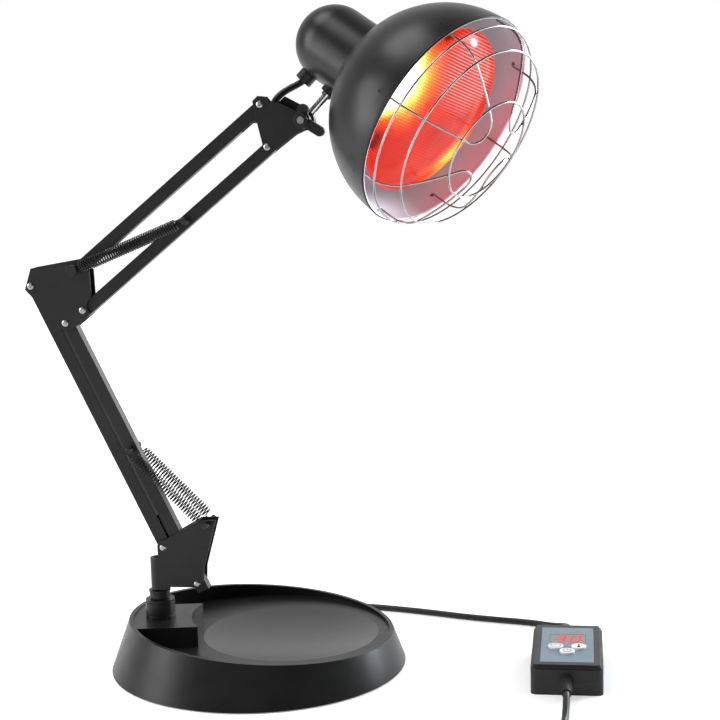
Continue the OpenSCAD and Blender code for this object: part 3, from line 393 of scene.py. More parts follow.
def brushed(name, colour, rough, along):
    """Metal with fine scratches drawn out along one axis."""
    m = Surface(name, Metallic=1.0)
    scratch = m.noise(1, 6, m.place(along))
    dark = tuple(c * 0.78 for c in colour)
    m.feed("Base Color", m.shades(scratch, dark, colour))
    m.feed("Roughness", m.spread(scratch, rough - 0.05, rough + 0.08))
    m.bump(scratch, 0.12, 0.00005, m.edges(0.0002))
    return m.material


def chrome(name, level):
    m = Surface(name, Metallic=1.0)
    cloud = m.noise(160, 4)
    m.feed("Base Color", m.ramp(cloud, [(0.3, grey(level * 0.78, 0.03)), (0.6, grey(level, 0.02))]))
    m.feed("Roughness", m.spread(cloud, 0.08, 0.2))
    m.bump(m.noise(900, 2), 0.06, 0.00003)
    return m.material


shell_black = black("shell_black", 0.0075, 0.011, 0.36, 2600, 0.00005)
paint_black = black("paint_black", 0.009, 0.013, 0.42, 1800, 0.00005)
dish_black = black("dish_black", 0.01, 0.011, 0.3, 1400, 0.000008, sheen=0.55, uneven=0.012)
shade_black = black("shade_black", 0.009, 0.012, 0.34, 1500, 0.00003)
pin_black = grained("pin_black", grey(0.01), grey(0.02), 0.33, 1500, 0.00003, Metallic=0.4)
textured_black = black("textured_black", 0.008, 0.016, 0.42, 1300, 0.00016, sheen=0.35)
rubber = black("rubber", 0.011, 0.019, 0.62, 1100, 0.00006)
cord_black = black("cord_black", 0.009, 0.014, 0.38, 700, 0.00004, sheen=0.35, edge=0.0001)
steel = brushed("steel", grey(0.5), 0.32, (300, 300, 60))
rivet_steel = brushed("rivet_steel", grey(0.36), 0.3, (500, 90, 500))
brass = brushed("brass", (0.72, 0.52, 0.25), 0.22, (90, 600, 600))
cap_metal = brushed("cap_metal", (0.72, 0.68, 0.58), 0.3, (400, 400, 80))
bright_chrome = chrome("chrome", 0.72)
wire_chrome = chrome("wire_chrome", 0.36)
ceramic = grained("ceramic", (0.72, 0.69, 0.61), (0.8, 0.77, 0.7), 0.22, 300, 0.00004, Coat_Weight=0.5)
spring_black = grained("spring_black", grey(0.01), grey(0.03), 0.3, 1200, 0.00003, Metallic=0.6, edge=0.0001)


def shade_lining(name):
    """The bowl's pale satin lining with painted light: a painted red glow towards the rim, painted
    near-white light low down, and a faint painted glow all over.
    """
    m = Surface(name, Metallic=0.2, Emission_Strength=1.0)
    down, right, out = m.lamp_place()
    cloud = m.noise(26, 3)
    satin = m.shades(cloud, (0.46, 0.48, 0.51), (0.52, 0.54, 0.57))
    # Painted light: a red glow from the bulb towards the rim on the right, and near-white light low down on
    # the left.
    rim = m.spread(out, 0, 1, RIM_S - 30, RIM_S + 4)
    painted_red_glow = m.times(rim, m.spread(right, 0, 1, 6, 72))
    pale = m.times(m.spread(out, 0, 1, RIM_S - 30, RIM_S - 14), m.spread(down, 0, 1, 14, 50))
    pale = m.times(pale, m.spread(right, 1, 0, -4, 50))
    satin_with_painted_red = m.mix(painted_red_glow, satin, (0.62, 0.26, 0.3))
    m.feed("Base Color", m.mix(pale, satin_with_painted_red, (0.84, 0.8, 0.9)))
    # Painted glow: the lining gives off light of its own, dim grey, with the same painted red and
    # near-white.
    dim = m.shades(cloud, (0.05, 0.062, 0.072), (0.06, 0.072, 0.084))
    m.feed("Emission Color", m.mix(pale, m.mix(painted_red_glow, dim, (0.24, 0.07, 0.09)), (0.72, 0.68, 0.8)))
    m.feed("Roughness", m.spread(m.noise(60, 4), 0.32, 0.42))
    m.bump(m.noise(1400, 2), 0.15, 0.00003)
    return m.material


lining = shade_lining("lining")


def board_green(name):
    m = Surface(name)
    traces = m.node("ShaderNodeTexBrick")
    traces.inputs["Scale"].default_value = 160
    traces.inputs["Mortar Size"].default_value = 0.03
    traces.inputs["Color1"].default_value = (0.01, 0.12, 0.04, 1)
    traces.inputs["Color2"].default_value = (0.012, 0.15, 0.05, 1)
    traces.inputs["Mortar"].default_value = (0.03, 0.24, 0.09, 1)
    m.join(m.place(), traces.inputs["Vector"])
    m.feed("Base Color", traces.outputs["Color"])
    m.feed("Roughness", m.spread(m.noise(200), 0.3, 0.45))
    return m.material


def printed_panel(name):
    m = Surface(name)
    cloud = m.noise(22, 4)
    m.feed("Base Color", m.ramp(cloud, [(0.3, (0.135, 0.195, 0.25)), (0.75, (0.175, 0.24, 0.3))]))
    m.feed("Roughness", m.spread(m.noise(300, 4), 0.3, 0.42))
    m.bump(m.noise(5000, 2), 0.2, 0.00003, m.edges(0.0003))
    return m.material


def window_black(name):
    m = Surface(name, Coat_Weight=1.0)
    cloud = m.noise(60, 3)
    m.feed("Base Color", m.shades(cloud, grey(0.006), grey(0.011)))
    m.feed("Roughness", m.spread(cloud, 0.1, 0.2))
    return m.material


def key_white(name):
    m = Surface(name, Coat_Weight=0.3)
    cloud = m.noise(120, 4)
    m.feed("Base Color", m.shades(cloud, grey(0.74, 0.01), grey(0.82, 0.01)))
    m.feed("Roughness", m.spread(cloud, 0.24, 0.36))
    m.bump(m.noise(1500, 2), 0.1, 0.00003, m.edges(0.0004))
    return m.material


def printed_ink(name):
    m = Surface(name)
    cloud = m.noise(900, 3)
    m.feed("Base Color", m.shades(cloud, grey(0.015), grey(0.03)))
    m.feed("Roughness", m.spread(cloud, 0.4, 0.55))
    return m.material


def lit_segment(name):
    """A lit red segment, its glow a little uneven in fine patches."""
    m = Surface(name, Emission_Strength=1.0)
    cloud = m.noise(700, 2)
    m.feed("Emission Color", m.shades(cloud, (0.8, 0.0, 0.0), (1.0, 0.01, 0.005)))
    m.feed("Base Color", m.shades(cloud, (0.2, 0.0, 0.0), (0.3, 0.0, 0.0)))
    return m.material


panel_blue = printed_panel("panel_blue")
display_black = window_black("display_black")
white_key = key_white("white_key")
ink = printed_ink("ink")
segment_red = lit_segment("segment_red")
board = board_green("board")


# ======================= cords =======================
CORD_D = 5
CORD_SIDES = 20
ROUTE_PARTS = 3
FLOOR_C = CORD_D / 2 + 0.05
BASE_TURN = 9.6
POST_R = 74.3
INSIDE_ROUTE = [
    (-POST_R, 0, 82), (-POST_R, 0, 55), (-POST_R, 0, 32), (-POST_R, 0, 22.6), (-73.6, 1.9, 15.4),
    (-71.8, 7.1, 9.8), (-69.3, 14.2, 7.6), (-64.6, 26, 7.6), (-58, 38, 8), (-52.6, 49, 9),
    (-51.4, 60, 10), (-54.6, 70, 10), (-61.6, 78.8, 10), (-66.98, 85.74, 10)]
WALL_EXIT = INSIDE_ROUTE[-1]
GROMMET_END = [(-72, 92.2, 10), (-82.5, 105.6, 10)]
OUTSIDE_ROUTE = [
    (-104.6, 97.6, 8), (-109.6, 106, 4.6), (-110.6, 116, FLOOR_C), (-105.4, 127, FLOOR_C),
    (-93, 134, FLOOR_C), (-74, 136, FLOOR_C), (-50, 138, FLOOR_C), (-24, 140, FLOOR_C),
    (4, 141, FLOOR_C), (34, 140, FLOOR_C), (64, 137, FLOOR_C), (94, 131, FLOOR_C),
    (122, 123, FLOOR_C), (150, 114, FLOOR_C), (178, 107, FLOOR_C), (204, 101, FLOOR_C),
    (222, 92, 3.4), (232, 80, 7), (235, 66, 10), (235, 50, 10), (235, 36, 10)]
COIL_X, COIL_Y, COIL_D, COIL_TURNS = 264, -212, 58, 6
COIL_LIFT = 0.9
COIL_LOW = CORD_D / 2 + COIL_LIFT
LANE_GAP = 0.6
LANE = CORD_D + LANE_GAP
CLIMB_TURNS = 0.5
LAYER_TURNS = COIL_TURNS / 2
COIL_OUT = COIL_D / 2 + LANE * (LAYER_TURNS - 1) / 2 + LANE / 4
COIL_LEFT = COIL_X - COIL_OUT
PLUG_Y = -262
PLUG_Z = 8.05
LEAD_ROUTE = [
    (235, -56, 10), (235, -70, 10), (235, -84, 10), (234.8, -97, 6.6), (234.2, -111, FLOOR_C),
    (233, -128, FLOOR_C), (231.6, -146, FLOOR_C), (230, -164, FLOOR_C), (228.6, -182, 3),
    (COIL_LEFT, -196, COIL_LOW), (COIL_LEFT, COIL_Y + CORD_D, COIL_LOW)]
TAIL_ROUTE = [
    (COIL_LEFT, COIL_Y - CORD_D, COIL_LOW + LANE), (COIL_LEFT, -224, COIL_LOW + LANE),
    (COIL_LEFT + 1.4, -233, COIL_LOW + LANE), (COIL_LEFT + 6, -243, 8.8),
    (COIL_LEFT + 13.6, -252, 8.4), (COIL_LEFT + 25, -259.4, PLUG_Z),
    (COIL_LEFT + 38, PLUG_Y, PLUG_Z), (COIL_LEFT + 54, PLUG_Y, PLUG_Z)]
COIL_STEPS = 24


def vectors(points):
    return [Vector(p) for p in points]


def turned(points):
    return [rotation("Z", BASE_TURN) @ Vector(p) for p in points]


def coil_point(turn):
    """Turns spiral in on the floor, climb a layer where they reverse, and spiral out."""
    way = LAYER_TURNS - abs(turn - LAYER_TURNS)
    rise = min(1, max(0, (turn - LAYER_TURNS) / CLIMB_TURNS + 0.5))
    radius = COIL_OUT - LANE * way
    x, y = on_arc((COIL_X, COIL_Y), -radius, 360 * turn)
    return Vector((x, y, COIL_LOW + LANE * rise))


def cord_curve(name, points):
    """A smooth round cord as one open curve through the points, in millimetres."""
    curve = bpy.data.curves.new(name, "CURVE")
    curve.dimensions = "3D"
    curve.bevel_depth = CORD_D / 2 * MM
    curve.bevel_resolution = 5
    curve.use_fill_caps = True
    spline = curve.splines.new("POLY")
    spline.points.add(len(points) - 1)
    for slot, point in zip(spline.points, points):
        slot.co = (*(point * MM), 1)
    spline.use_smooth = True
    curve.materials.append(cord_black)
    return link(name, curve)


def laid(points):
    """A smoothed route that doesn't dip into the floor between its points."""
    return [Vector((p.x, p.y, max(p.z, FLOOR_C))) for p in smooth_route(points, ROUTE_PARTS)]


def make_cords():
    inside = cord_curve("cord_in_base", smooth_route(turned(INSIDE_ROUTE), ROUTE_PARTS))
    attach(inside, "base")
    supply = laid(turned([WALL_EXIT] + GROMMET_END) + vectors(OUTSIDE_ROUTE))
    coil = [coil_point(i / COIL_STEPS) for i in range(COIL_STEPS * COIL_TURNS + 1)]
    lead = laid(vectors(LEAD_ROUTE)) + coil + laid(vectors(TAIL_ROUTE))
    supply_cord = cord_curve("cord_to_controller", supply)
    lead_cord = cord_curve("cord_to_plug", lead)
    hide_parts("supply_cord")
    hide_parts("lead_cord", "cord_coil")
    for piece in (supply_cord, lead_cord):
        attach(piece, "base")
    return (supply_cord, supply), (lead_cord, lead)


(supply_piece, supply_points), (lead_piece, lead_points) = make_cords()

# The cord from the upper tube to the cup, as (x, out of the arm's plane, z). It bends with three
# joints, so it is three pieces, split where the route passes from one body to the next.
HEAD_CORD = [
    (0.6, 0, 406.3), (5.9, 0, 410.7), (11.2, 0, 411.8), (17.4, 0, 412.4), (20.6, 0, 413.2),
    (23.8, 0, 416.4), (26.0, 0.2, 421.2), (28.4, 1.2, 426), (31.6, 3.2, 429.6), (35.2, 5.2, 432.2),
    (39, 7.2, 434.4), (42.8, 9, 436.4), (46.94, 10.2, 438.9), (49.4, 10.2, 441.5)]
HEAD_ROUTE_PARTS = 6
# Its pieces: the route's points from and to, the bodies, and where it leaves one for the other.
HEAD_PIECES = (
    ("cord_at_arm", 0, 4, ("upper_arm", "head_bracket"), (3, 0, 408.4), (16.4, 0, 412.2)),
    ("cord_at_bracket", 4, 8, ("head_bracket", "tilt_block"), (22.2, 0, 415.4), (29.6, 2, 427.6)),
    ("cord_at_cup", 8, 13, ("tilt_block", "lamp_head"), (33.6, 4.2, 431.2), (44.6, 9.6, 437.6)))


def in_arm_plane(point):
    return Vector(point) * MM + Vector((0, ARM_Y, 0))


def make_head_cord():
    route = smooth_route([in_arm_plane(p) for p in HEAD_CORD], HEAD_ROUTE_PARTS)
    for name, first, last, bodies, near, far in HEAD_PIECES:
        points = route[first * HEAD_ROUTE_PARTS:last * HEAD_ROUTE_PARTS + 1]
        piece = mesh_piece(name, lambda bm: tube(bm, points, CORD_D / 2 * MM, CORD_SIDES), cord_black)
        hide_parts("head_cord")
        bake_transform(piece)


make_head_cord()


# ======================= springs =======================
WIRE_D = 1.0
SPRING_D = 9
SPRING_Y = 12.2
LOOP_R = 2.4
COIL_FROM = 5.6
LOWER_CURLS = 30
UPPER_CURLS = 42
CURL_STEPS = 14
WIRE_SIDES = 8
EYE_FROM, EYE_TO, EYE_PARTS = -60, -267, 9


def spring_points(length, curls):
    """An eye round a pin, the curls and the other eye, along +X, in millimetres."""
    coil_r = (SPRING_D - WIRE_D) / 2
    eye = [on_arc((0, 0), LOOP_R, a) for a in steps(EYE_FROM, EYE_TO, EYE_PARTS)]
    points = [Vector((x, 0, z)) for x, z in eye]
    for i in range(CURL_STEPS * curls + 1):
        turn = i / CURL_STEPS
        ramp = min(1, turn, curls - turn)
        r = LOOP_R + (coil_r - LOOP_R) * ramp
        x = COIL_FROM + (length - 2 * COIL_FROM) * i / (CURL_STEPS * curls)
        points.append(Vector((x, r * math.sin(math.tau * turn), r * math.cos(math.tau * turn))))
    return points + [Vector((length - x, 0, z)) for x, z in reversed(eye)]


def spring(name, start, end, side, curls, stands_for):
    way = end - start
    place = (Matrix.Translation(start + Vector((0, side * SPRING_Y * MM, 0)))
             @ Matrix.Rotation(-math.atan2(way.z, way.x), 4, "Y") @ Matrix.Scale(MM, 4))
    points = [place @ p for p in spring_points(way.length / MM, curls)]
    piece = mesh_piece(name, lambda bm: tube(bm, points, WIRE_D / 2 * MM, WIRE_SIDES), spring_black)
    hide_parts(stands_for)
    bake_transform(piece)


for side, word in ((-1, "front"), (1, "rear")):
    spring(f"spring_low_{word}", BRACKET_PIN, LOWER_BAR_PIN, side, LOWER_CURLS,
           f"lower_spring_{word}")
    spring(f"spring_high_{word}", ELBOW_PIN, UPPER_BAR_PIN, side, UPPER_CURLS,
           f"upper_spring_{word}")


# ======================= bulb =======================
# Places on the lit bulb, in the lamp's frame: (down, right) and how far each reaches, in mm.
FILAMENT = ((-4, -58), (42, 47))
WHITE_HEAT = ((-2, -61), (32, 17))
PAINTED_RIB_SHEEN = ((-36, 4), (34, 46))
DARK_MARKS = (((-45, -43), (12, 15)), ((41, -46), (15, 9)))
FAINT_MARKS = (((-7, 27), (20, 12)), ((12, 16), (16, 13)))
# A painted highlight: a small near-white glint on the lens.
PAINTED_GLINT = ((-54, -13), (4, 9))
# The band of light along the lens's edge: its radii, and its direction and half its angle in radians.
RIM_GLOW_R = (38, 50, 66)
RIM_GLOW_AT = (0.33, 0.8)
LENS_TURN = 0.13
LENS_CELL = 2.1
BULB_SPILL = 0.06
HEAT_COLOURS = [
    (0.0, (0.74, 0.016, 0.005)), (0.16, (0.97, 0.045, 0.008)), (0.34, (1.0, 0.13, 0.02)),
    (0.55, (1.0, 0.45, 0.05)), (0.78, (1.0, 0.86, 0.22)), (1.0, (1.0, 1.0, 0.88))]
# From this height on the bulb is lens; behind it the glass is silvered.
LENS_FROM = 88
NECK_R, NECK_S = 14.4, 25.1


def wave(m, along, pitch):
    """A wave from 0 to 1 along a distance in millimetres."""
    return m.spread(m.math("SINE", m.times(along, math.tau / pitch)), 0, 1, -1, 1)


def rim_glow(m, down, right):
    """The band of light along the lens's lower right edge: 1 at its middle and 0 outside."""
    radius = m.math("SQRT", m.plus(m.times(down, down), m.times(right, right)))
    inner, middle, outer = RIM_GLOW_R
    band = m.times(m.spread(radius, 0, 1, inner, middle), m.spread(radius, 1, 0.5, middle, outer))
    at, half = RIM_GLOW_AT
    off = m.math("ABSOLUTE", m.math("SUBTRACT", m.math("ARCTAN2", down, right), at))
    return m.times(band, m.spread(off, 1, 0, 0, half))


def lit_glass(name):
    """Red lens glass lit from inside: white and yellow near the filament, orange at the lower rim, with a
    painted sheen on its upper ribs and a painted glint.
    """
    m = Surface(name, Coat_Weight=0.05, Coat_Roughness=0.08, Specular_IOR_Level=0.06)
    down, right, _ = m.lamp_place()
    where = (down, right)
    across = m.plus(down, m.times(right, LENS_TURN))
    along = m.math("SUBTRACT", right, m.times(down, LENS_TURN))
    rows = wave(m, across, LENS_CELL)
    cells = m.times(rows, wave(m, along, LENS_CELL))
    uneven = m.spread(m.noise(42, 4), -0.09, 0.09)
    heat = m.math("POWER", m.spot(where, *FILAMENT), 1.15)
    heat = m.plus(heat, m.times(m.spot(where, *WHITE_HEAT), 0.9))
    heat = m.plus(heat, m.times(rim_glow(m, down, right), 0.62))
    heat = m.plus(heat, uneven)
    heat = m.plus(heat, m.times(cells, 0.16))
    glow = m.ramp(heat, HEAT_COLOURS)
    # Painted sheen: pale pink stripes along the lens ribs on the upper side, for light caught on the glass.
    ribs = m.times(m.spread(rows, 0, 0.6, 0.55, 0.85), m.spread(m.spot(where, *PAINTED_RIB_SHEEN), 0, 1, 0.02, 0.5))
    glow = m.mix(ribs, glow, (1.0, 0.62, 0.55))
    strokes = m.spread(m.noise(110, 3), 0, 1, 0.47, 0.56)
    for marks, strength, full_at, colour in ((DARK_MARKS, 0.9, 0.55, (0.16, 0.004, 0.003)),
                                             (FAINT_MARKS, 0.55, 0.6, (0.6, 0.014, 0.006))):
        for centre, reach in marks:
            mark = m.times(m.spread(m.spot(where, centre, reach), 0, strength, 0.1, full_at), strokes)
            glow = m.mix(mark, glow, colour)
    # Painted glint: the small near-white highlight mixed into the glow.
    glow = m.mix(m.spread(m.spot(where, *PAINTED_GLINT), 0, 1, 0.3, 0.5), glow, (1.0, 0.9, 0.82))
    m.feed("Emission Color", glow)
    # Seen and mirrored in full, while only a share of the glow lights what stands around it.
    seen = m.light_path("Is Camera Ray", "Is Glossy Ray", "Is Transmission Ray")
    share = m.spread(seen, BULB_SPILL, 1, 0, 1)
    m.feed("Emission Strength", m.times(m.spread(heat, 0.9, 2.4, 0.2, 1), share))
    m.feed("Base Color", m.shades(m.noise(60), (0.05, 0.002, 0.001), (0.08, 0.003, 0.002)))
    m.feed("Roughness", m.spread(m.noise(200), 0.12, 0.22))
    m.bump(cells, 0.15, 0.0001)
    return m.material


def mirrored_glass(name):
    """The silvered back of the bulb, warm from the light inside."""
    m = Surface(name, Metallic=0.85, Coat_Weight=0.5, Emission_Strength=0.35)
    cloud = m.noise(40, 4)
    m.feed("Base Color", m.shades(cloud, (0.72, 0.5, 0.42), (0.86, 0.74, 0.68)))
    m.feed("Emission Color", m.shades(cloud, (0.5, 0.06, 0.03), (0.7, 0.14, 0.06)))
    m.feed("Roughness", m.spread(cloud, 0.12, 0.24))
    return m.material


def bulb_outline():
    """Neck, flare, widest place and lens, as (radius, height) in the lamp's frame."""
    side = [(0, NECK_S), (NECK_R, NECK_S), (15.2, 33), (20, 42), (32, 56), (44, 70), (55, 83), (60, 90),
            (BULB_R - 1, BULB_S - 3)]
    front = [(BULB_R, BULB_S), (BULB_R - 1.5, BULB_S + 2.4), (BULB_R - 4, BULB_S + 3.6),
             (BULB_R - 8, BULB_S + 4.4), (BULB_R - 16, BULB_S + 5.6), (BULB_R - 26, BULB_S + 6.4),
             (BULB_R - 44, BULB_S + 7.1), (0, BULB_S + 7.4)]
    return side + front


def make_bulb():
    def build(bm):
        lathe(bm, bulb_outline(), 128)
        bmesh.ops.transform(bm, matrix=LAMP, verts=bm.verts)

    piece = mesh_piece("reflector_bulb", build, lit_glass("lit_glass"))
    piece.data.materials.append(mirrored_glass("mirrored_glass"))
    inward = LAMP.inverted()
    for face in piece.data.polygons:
        face.material_index = int((inward @ face.center).z < LENS_FROM)
    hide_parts("lamp_bulb")
    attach(piece, "lamp_head")


make_bulb()


# ======================= wire guard =======================
WIRE_GUARD_D = 1.5
GUARD_SKIN = 76
GUARD_TURN = -15.5
RING_R = (66.5, 36.5)
RING_LOW = 8.4
RIB_R, RIB_C, RIB_BASE = 24, 52, 4
CROWN_FROM, CROWN_R = 60, 180
TURN_IN = 30
HOOK_R, HOOK_LOW = 2.2, -9
RIB_END = SHADE_R - 0.6
WELD = 0.05
PLUG_R = 1.23
PLUG_FROM, PLUG_TO = SHADE_R - 0.9, SHADE_R - 0.55
RIB_STEP = 45
HALF_STEP = math.radians(RIB_STEP / 2)
CROWN_C = (RIB_C + (RIB_R - CROWN_R) * math.cos(math.radians(CROWN_FROM)),
           RIB_BASE + (RIB_R - CROWN_R) * math.sin(math.radians(CROWN_FROM)))
CROWN_TO = math.degrees(math.acos((TURN_IN - CROWN_C[0]) / CROWN_R))


def rib_side():
    """A rib from its hook in the rim over the crown, as (radius, height above the rim)."""
    return ([(RIB_END, HOOK_LOW)]
            + [on_arc((GUARD_SKIN + HOOK_R, HOOK_LOW + HOOK_R), HOOK_R, a) for a in steps(270, 180, 6)]
            + [on_arc((RIB_C, RIB_BASE), RIB_R, a) for a in steps(0, CROWN_FROM, 12)[:-1]]
            + [on_arc(CROWN_C, CROWN_R, a) for a in steps(CROWN_FROM, CROWN_TO, 6)])


def rib_height(r):
    if r > RIB_C + RIB_R * math.cos(math.radians(CROWN_FROM)):
        return RIB_BASE + math.sqrt(RIB_R ** 2 - (r - RIB_C) ** 2)
    return CROWN_C[1] + math.sqrt(CROWN_R ** 2 - (r - CROWN_C[0]) ** 2)


def rib_lean(r):
    """The direction in which the rib's outer side faces at a radius."""
    if r > RIB_C + RIB_R * math.cos(math.radians(CROWN_FROM)):
        return math.acos((r - RIB_C) / RIB_R)
    return math.acos((r - CROWN_C[0]) / CROWN_R)


def rib_pair():
    """Two ribs as one wire, joined by a round turn near the middle."""
    slope = math.radians(90 - CROWN_TO)
    tilt = math.atan2(math.sin(slope), math.cos(HALF_STEP) * math.cos(slope))
    half_turn = math.atan2(math.sin(HALF_STEP) * math.cos(slope),
                           math.hypot(math.cos(HALF_STEP) * math.cos(slope), math.sin(slope)))
    apex = TURN_IN / math.cos(slope)
    apex_z = CROWN_C[1] + CROWN_R * math.sin(math.radians(CROWN_TO)) + TURN_IN * math.tan(slope)
    side = rib_side()
    turn = []
    for a in steps(math.pi / 2 + half_turn, 3 * math.pi / 2 - half_turn, 20)[1:-1]:
        x = apex * (1 / math.cos(half_turn) + math.tan(half_turn) * math.cos(a))
        y = apex * math.tan(half_turn) * math.sin(a)
        turn.append(Vector((x * math.cos(tilt), y, apex_z - x * math.sin(tilt))))
    first = [Vector((r * math.cos(HALF_STEP), r * math.sin(HALF_STEP), z)) for r, z in side]
    second = [Vector((p.x, -p.y, p.z)) for p in reversed(first)]
    return first + turn + second


def guard_ring(r, lift):
    z = rib_height(r) + lift * math.sin(rib_lean(r))
    out = r + lift * math.cos(rib_lean(r))
    return [Vector((out * math.cos(a), out * math.sin(a), z)) for a in full_turn(120)]


def make_guard():
    """Three rings welded on eight hooked ribs of bright wire, and the plugs round the hooks' ends."""
    place = LAMP @ Matrix.Translation((0, 0, RIM_S)) @ rotation("Z", GUARD_TURN)
    outer = RIB_C + math.sqrt(RIB_R ** 2 - (RING_LOW - RIB_BASE) ** 2)

    def build(bm):
        for k in range(4):
            tube(bm, [rotation("Z", 90 * k) @ p for p in rib_pair()], WIRE_GUARD_D / 2, 12)
        for r in (outer, *RING_R):
            tube(bm, guard_ring(r, WIRE_GUARD_D - WELD), WIRE_GUARD_D / 2, 12, closed=True)
        bmesh.ops.transform(bm, matrix=place, verts=bm.verts)

    def build_plugs(bm):
        for k in range(8):
            turn = rotation("Z", RIB_STEP * (k + 0.5))
            tube(bm, [turn @ Vector((r, 0, HOOK_LOW)) for r in (PLUG_FROM, PLUG_TO)], PLUG_R, 16)
        bmesh.ops.transform(bm, matrix=place, verts=bm.verts)

    plugs = mesh_piece("guard_plugs", build_plugs, shade_black)
    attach(plugs, "lamp_head")
    piece = mesh_piece("bright_guard", build, wire_chrome)
    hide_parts("wire_guard")
    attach(piece, "lamp_head")


make_guard()


# ======================= controller's print and light =======================
CTRL_X, CTRL_Y = 235, -10
CTRL_TOP = 22
KEY_TOP = 23.3
PRINT_T = 0.08
KEYS = {"time": (-8.4, -6.7), "temp": (8.4, -6.7), "power": (0, -17.7)}
WINDOW_Y = 13.5
DIGIT_W, DIGIT_H = 8.2, 15.4
SEGMENT_W = 1.95
SEGMENT_GAP = 0.22
DIGITS_X = 0.6
WINDOW_SUNK = 0.1
INK_SUNK = 0.02
DIGIT_SLANT = 0.17
DIGIT_GAP = 11.2
SEGMENTS = {"3": "abcdg", "0": "abcdef"}


def at_controller(x, y, z):
    return Matrix.Scale(MM, 4) @ Matrix.Translation((CTRL_X + x, CTRL_Y + y, z))


def segment_outline(letter):
    """One of the seven bars of a digit, with pointed ends, about the digit's centre."""
    w, h, t, gap = DIGIT_W / 2, DIGIT_H / 2, SEGMENT_W / 2, SEGMENT_GAP
    across = {"a": h - t, "g": 0, "d": t - h}
    if letter in across:
        y = across[letter]
        x = w - t - gap
        return [(-x, y), (-x + t, y + t), (x - t, y + t), (x, y), (x - t, y - t), (-x + t, y - t)]
    x = (w - t) * (1 if letter in "bc" else -1)
    low, high = (gap, h - t - gap) if letter in "bf" else (t + gap - h, -gap)
    return [(x, low), (x + t, low + t), (x + t, high - t), (x, high), (x - t, high - t), (x - t, low + t)]


def make_digits():
    def build(bm):
        for text, x0 in (("3", -DIGIT_GAP / 2), ("0", DIGIT_GAP / 2)):
            for letter in SEGMENTS[text]:
                outline = [(x + x0 + y * DIGIT_SLANT, y) for x, y in segment_outline(letter)]
                plate(bm, outline, 0, PRINT_T)
        place = at_controller(DIGITS_X, WINDOW_Y, CTRL_TOP - WINDOW_SUNK)
        bmesh.ops.transform(bm, matrix=place, verts=bm.verts)

    piece = mesh_piece("display_digits", build, segment_red, smooth=False)
    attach(piece, "base")
    return piece


def arc_band(radius, width, start, end, count):
    outer = [on_arc((0, 0), radius + width / 2, a) for a in steps(start, end, count)]
    inner = [on_arc((0, 0), radius - width / 2, a) for a in steps(end, start, count)]
    return outer + inner


def bar(x0, y0, x1, y1):
    return [(x0, y0), (x1, y0), (x1, y1), (x0, y1)]


def round_bar(width, low, high):
    r = width / 2
    return [(r, low)] + [on_arc((0, high - r), r, a) for a in steps(0, 180, 8)] + [(-r, low)]


def disc(radius, y):
    return [on_arc((0, y), radius, math.degrees(a)) for a in full_turn(20)]


# A clock, a thermometer and a power sign.
ICONS = {
    "time": [arc_band(3.6, 0.42, 0, 180, 24), arc_band(3.6, 0.42, 180, 360, 24),
             bar(-0.2, 0, 0.2, 3.2), bar(-2.4, -0.2, 0.2, 0.2)],
    "temp": [round_bar(1.1, -1.2, 3.6), disc(1.25, -2.1)],
    "power": [arc_band(2.9, 0.55, -235, 55, 30), bar(-0.3, 0.6, 0.3, 3.7)],
}


def make_icon(key):
    def build(bm):
        for outline in ICONS[key]:
            plate(bm, outline, -INK_SUNK, PRINT_T)
        bmesh.ops.transform(bm, matrix=at_controller(*KEYS[key], KEY_TOP), verts=bm.verts)

    piece = mesh_piece(f"icon_{key}", build, ink, smooth=False)
    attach(piece, f"{key}_key")
    return piece


digits = make_digits()
icons = [make_icon(key) for key in KEYS]


# ======================= materials of the CAD's own pieces =======================
MATERIALS = {
    shell_black: ["base_shell", "post_socket", "stop_collar", "bottom_cover"],
    paint_black: ["post_tube", "lower_bracket", "lower_bar_rear", "lower_bar_front", "elbow_plate_front",
                  "elbow_plate_rear", "upper_bar_top", "upper_bar_bottom", "head_plate_front",
                  "head_plate_rear"],
    shade_black: ["lamp_cup", "lamp_shade"],
    pin_black: ["lower_anchor_pins", "lower_cross_pin", "upper_cross_pin", "elbow_anchor_pin",
                "swivel_barrel"],
    textured_black: ["wing_nut", "cable_gland", "controller_base", "controller_cover"],
    rubber: ["rubber_feet", "base_grommet", "controller_grommets"],
    cord_black: ["lower_arm_cord", "upper_arm_cord", "coil_tie", "plug_body"],
    steel: ["ballast_plate", "cover_screws", "socket_nut", "controller_screws"],
    rivet_steel: ["lower_rivets", "elbow_rivets", "head_rivets", "tilt_bolt"],
    bright_chrome: ["head_rod"],
    brass: ["plug_pins"],
    cap_metal: ["lamp_cap"],
    ceramic: ["lamp_holder"],
    panel_blue: ["control_panel"],
    display_black: ["display_module"],
    board: ["circuit_board"],
    white_key: ["button_time", "button_temp", "button_power"],
}


def dress(node, material):
    mesh = nodes[node].data
    mesh.materials.clear()
    mesh.materials.append(material)
    for face in mesh.polygons:
        face.material_index = 0


for material, names in MATERIALS.items():
    for name in names:
        dress(name, material)


def line_shade():
    """The bowl's inner skin gets the lining with its painted light; everything else of it stays black."""
    mesh = nodes["lamp_shade"].data
    mesh.materials.append(lining)
    centre = LAMP @ Vector((0, 0, SHADE_S))
    skin_middle = (SHADE_R - SHADE_WALL / 2) * MM
    for face in mesh.polygons:
        face.material_index = int((face.center - centre).length < skin_middle)


line_shade()

DISH_AT = rotation("Z", BASE_TURN) @ Vector((25, 0, 0)) * MM
DISH_R = 67.3 * MM
DISH_TOP, DISH_LOW = 23.1 * MM, 14 * MM


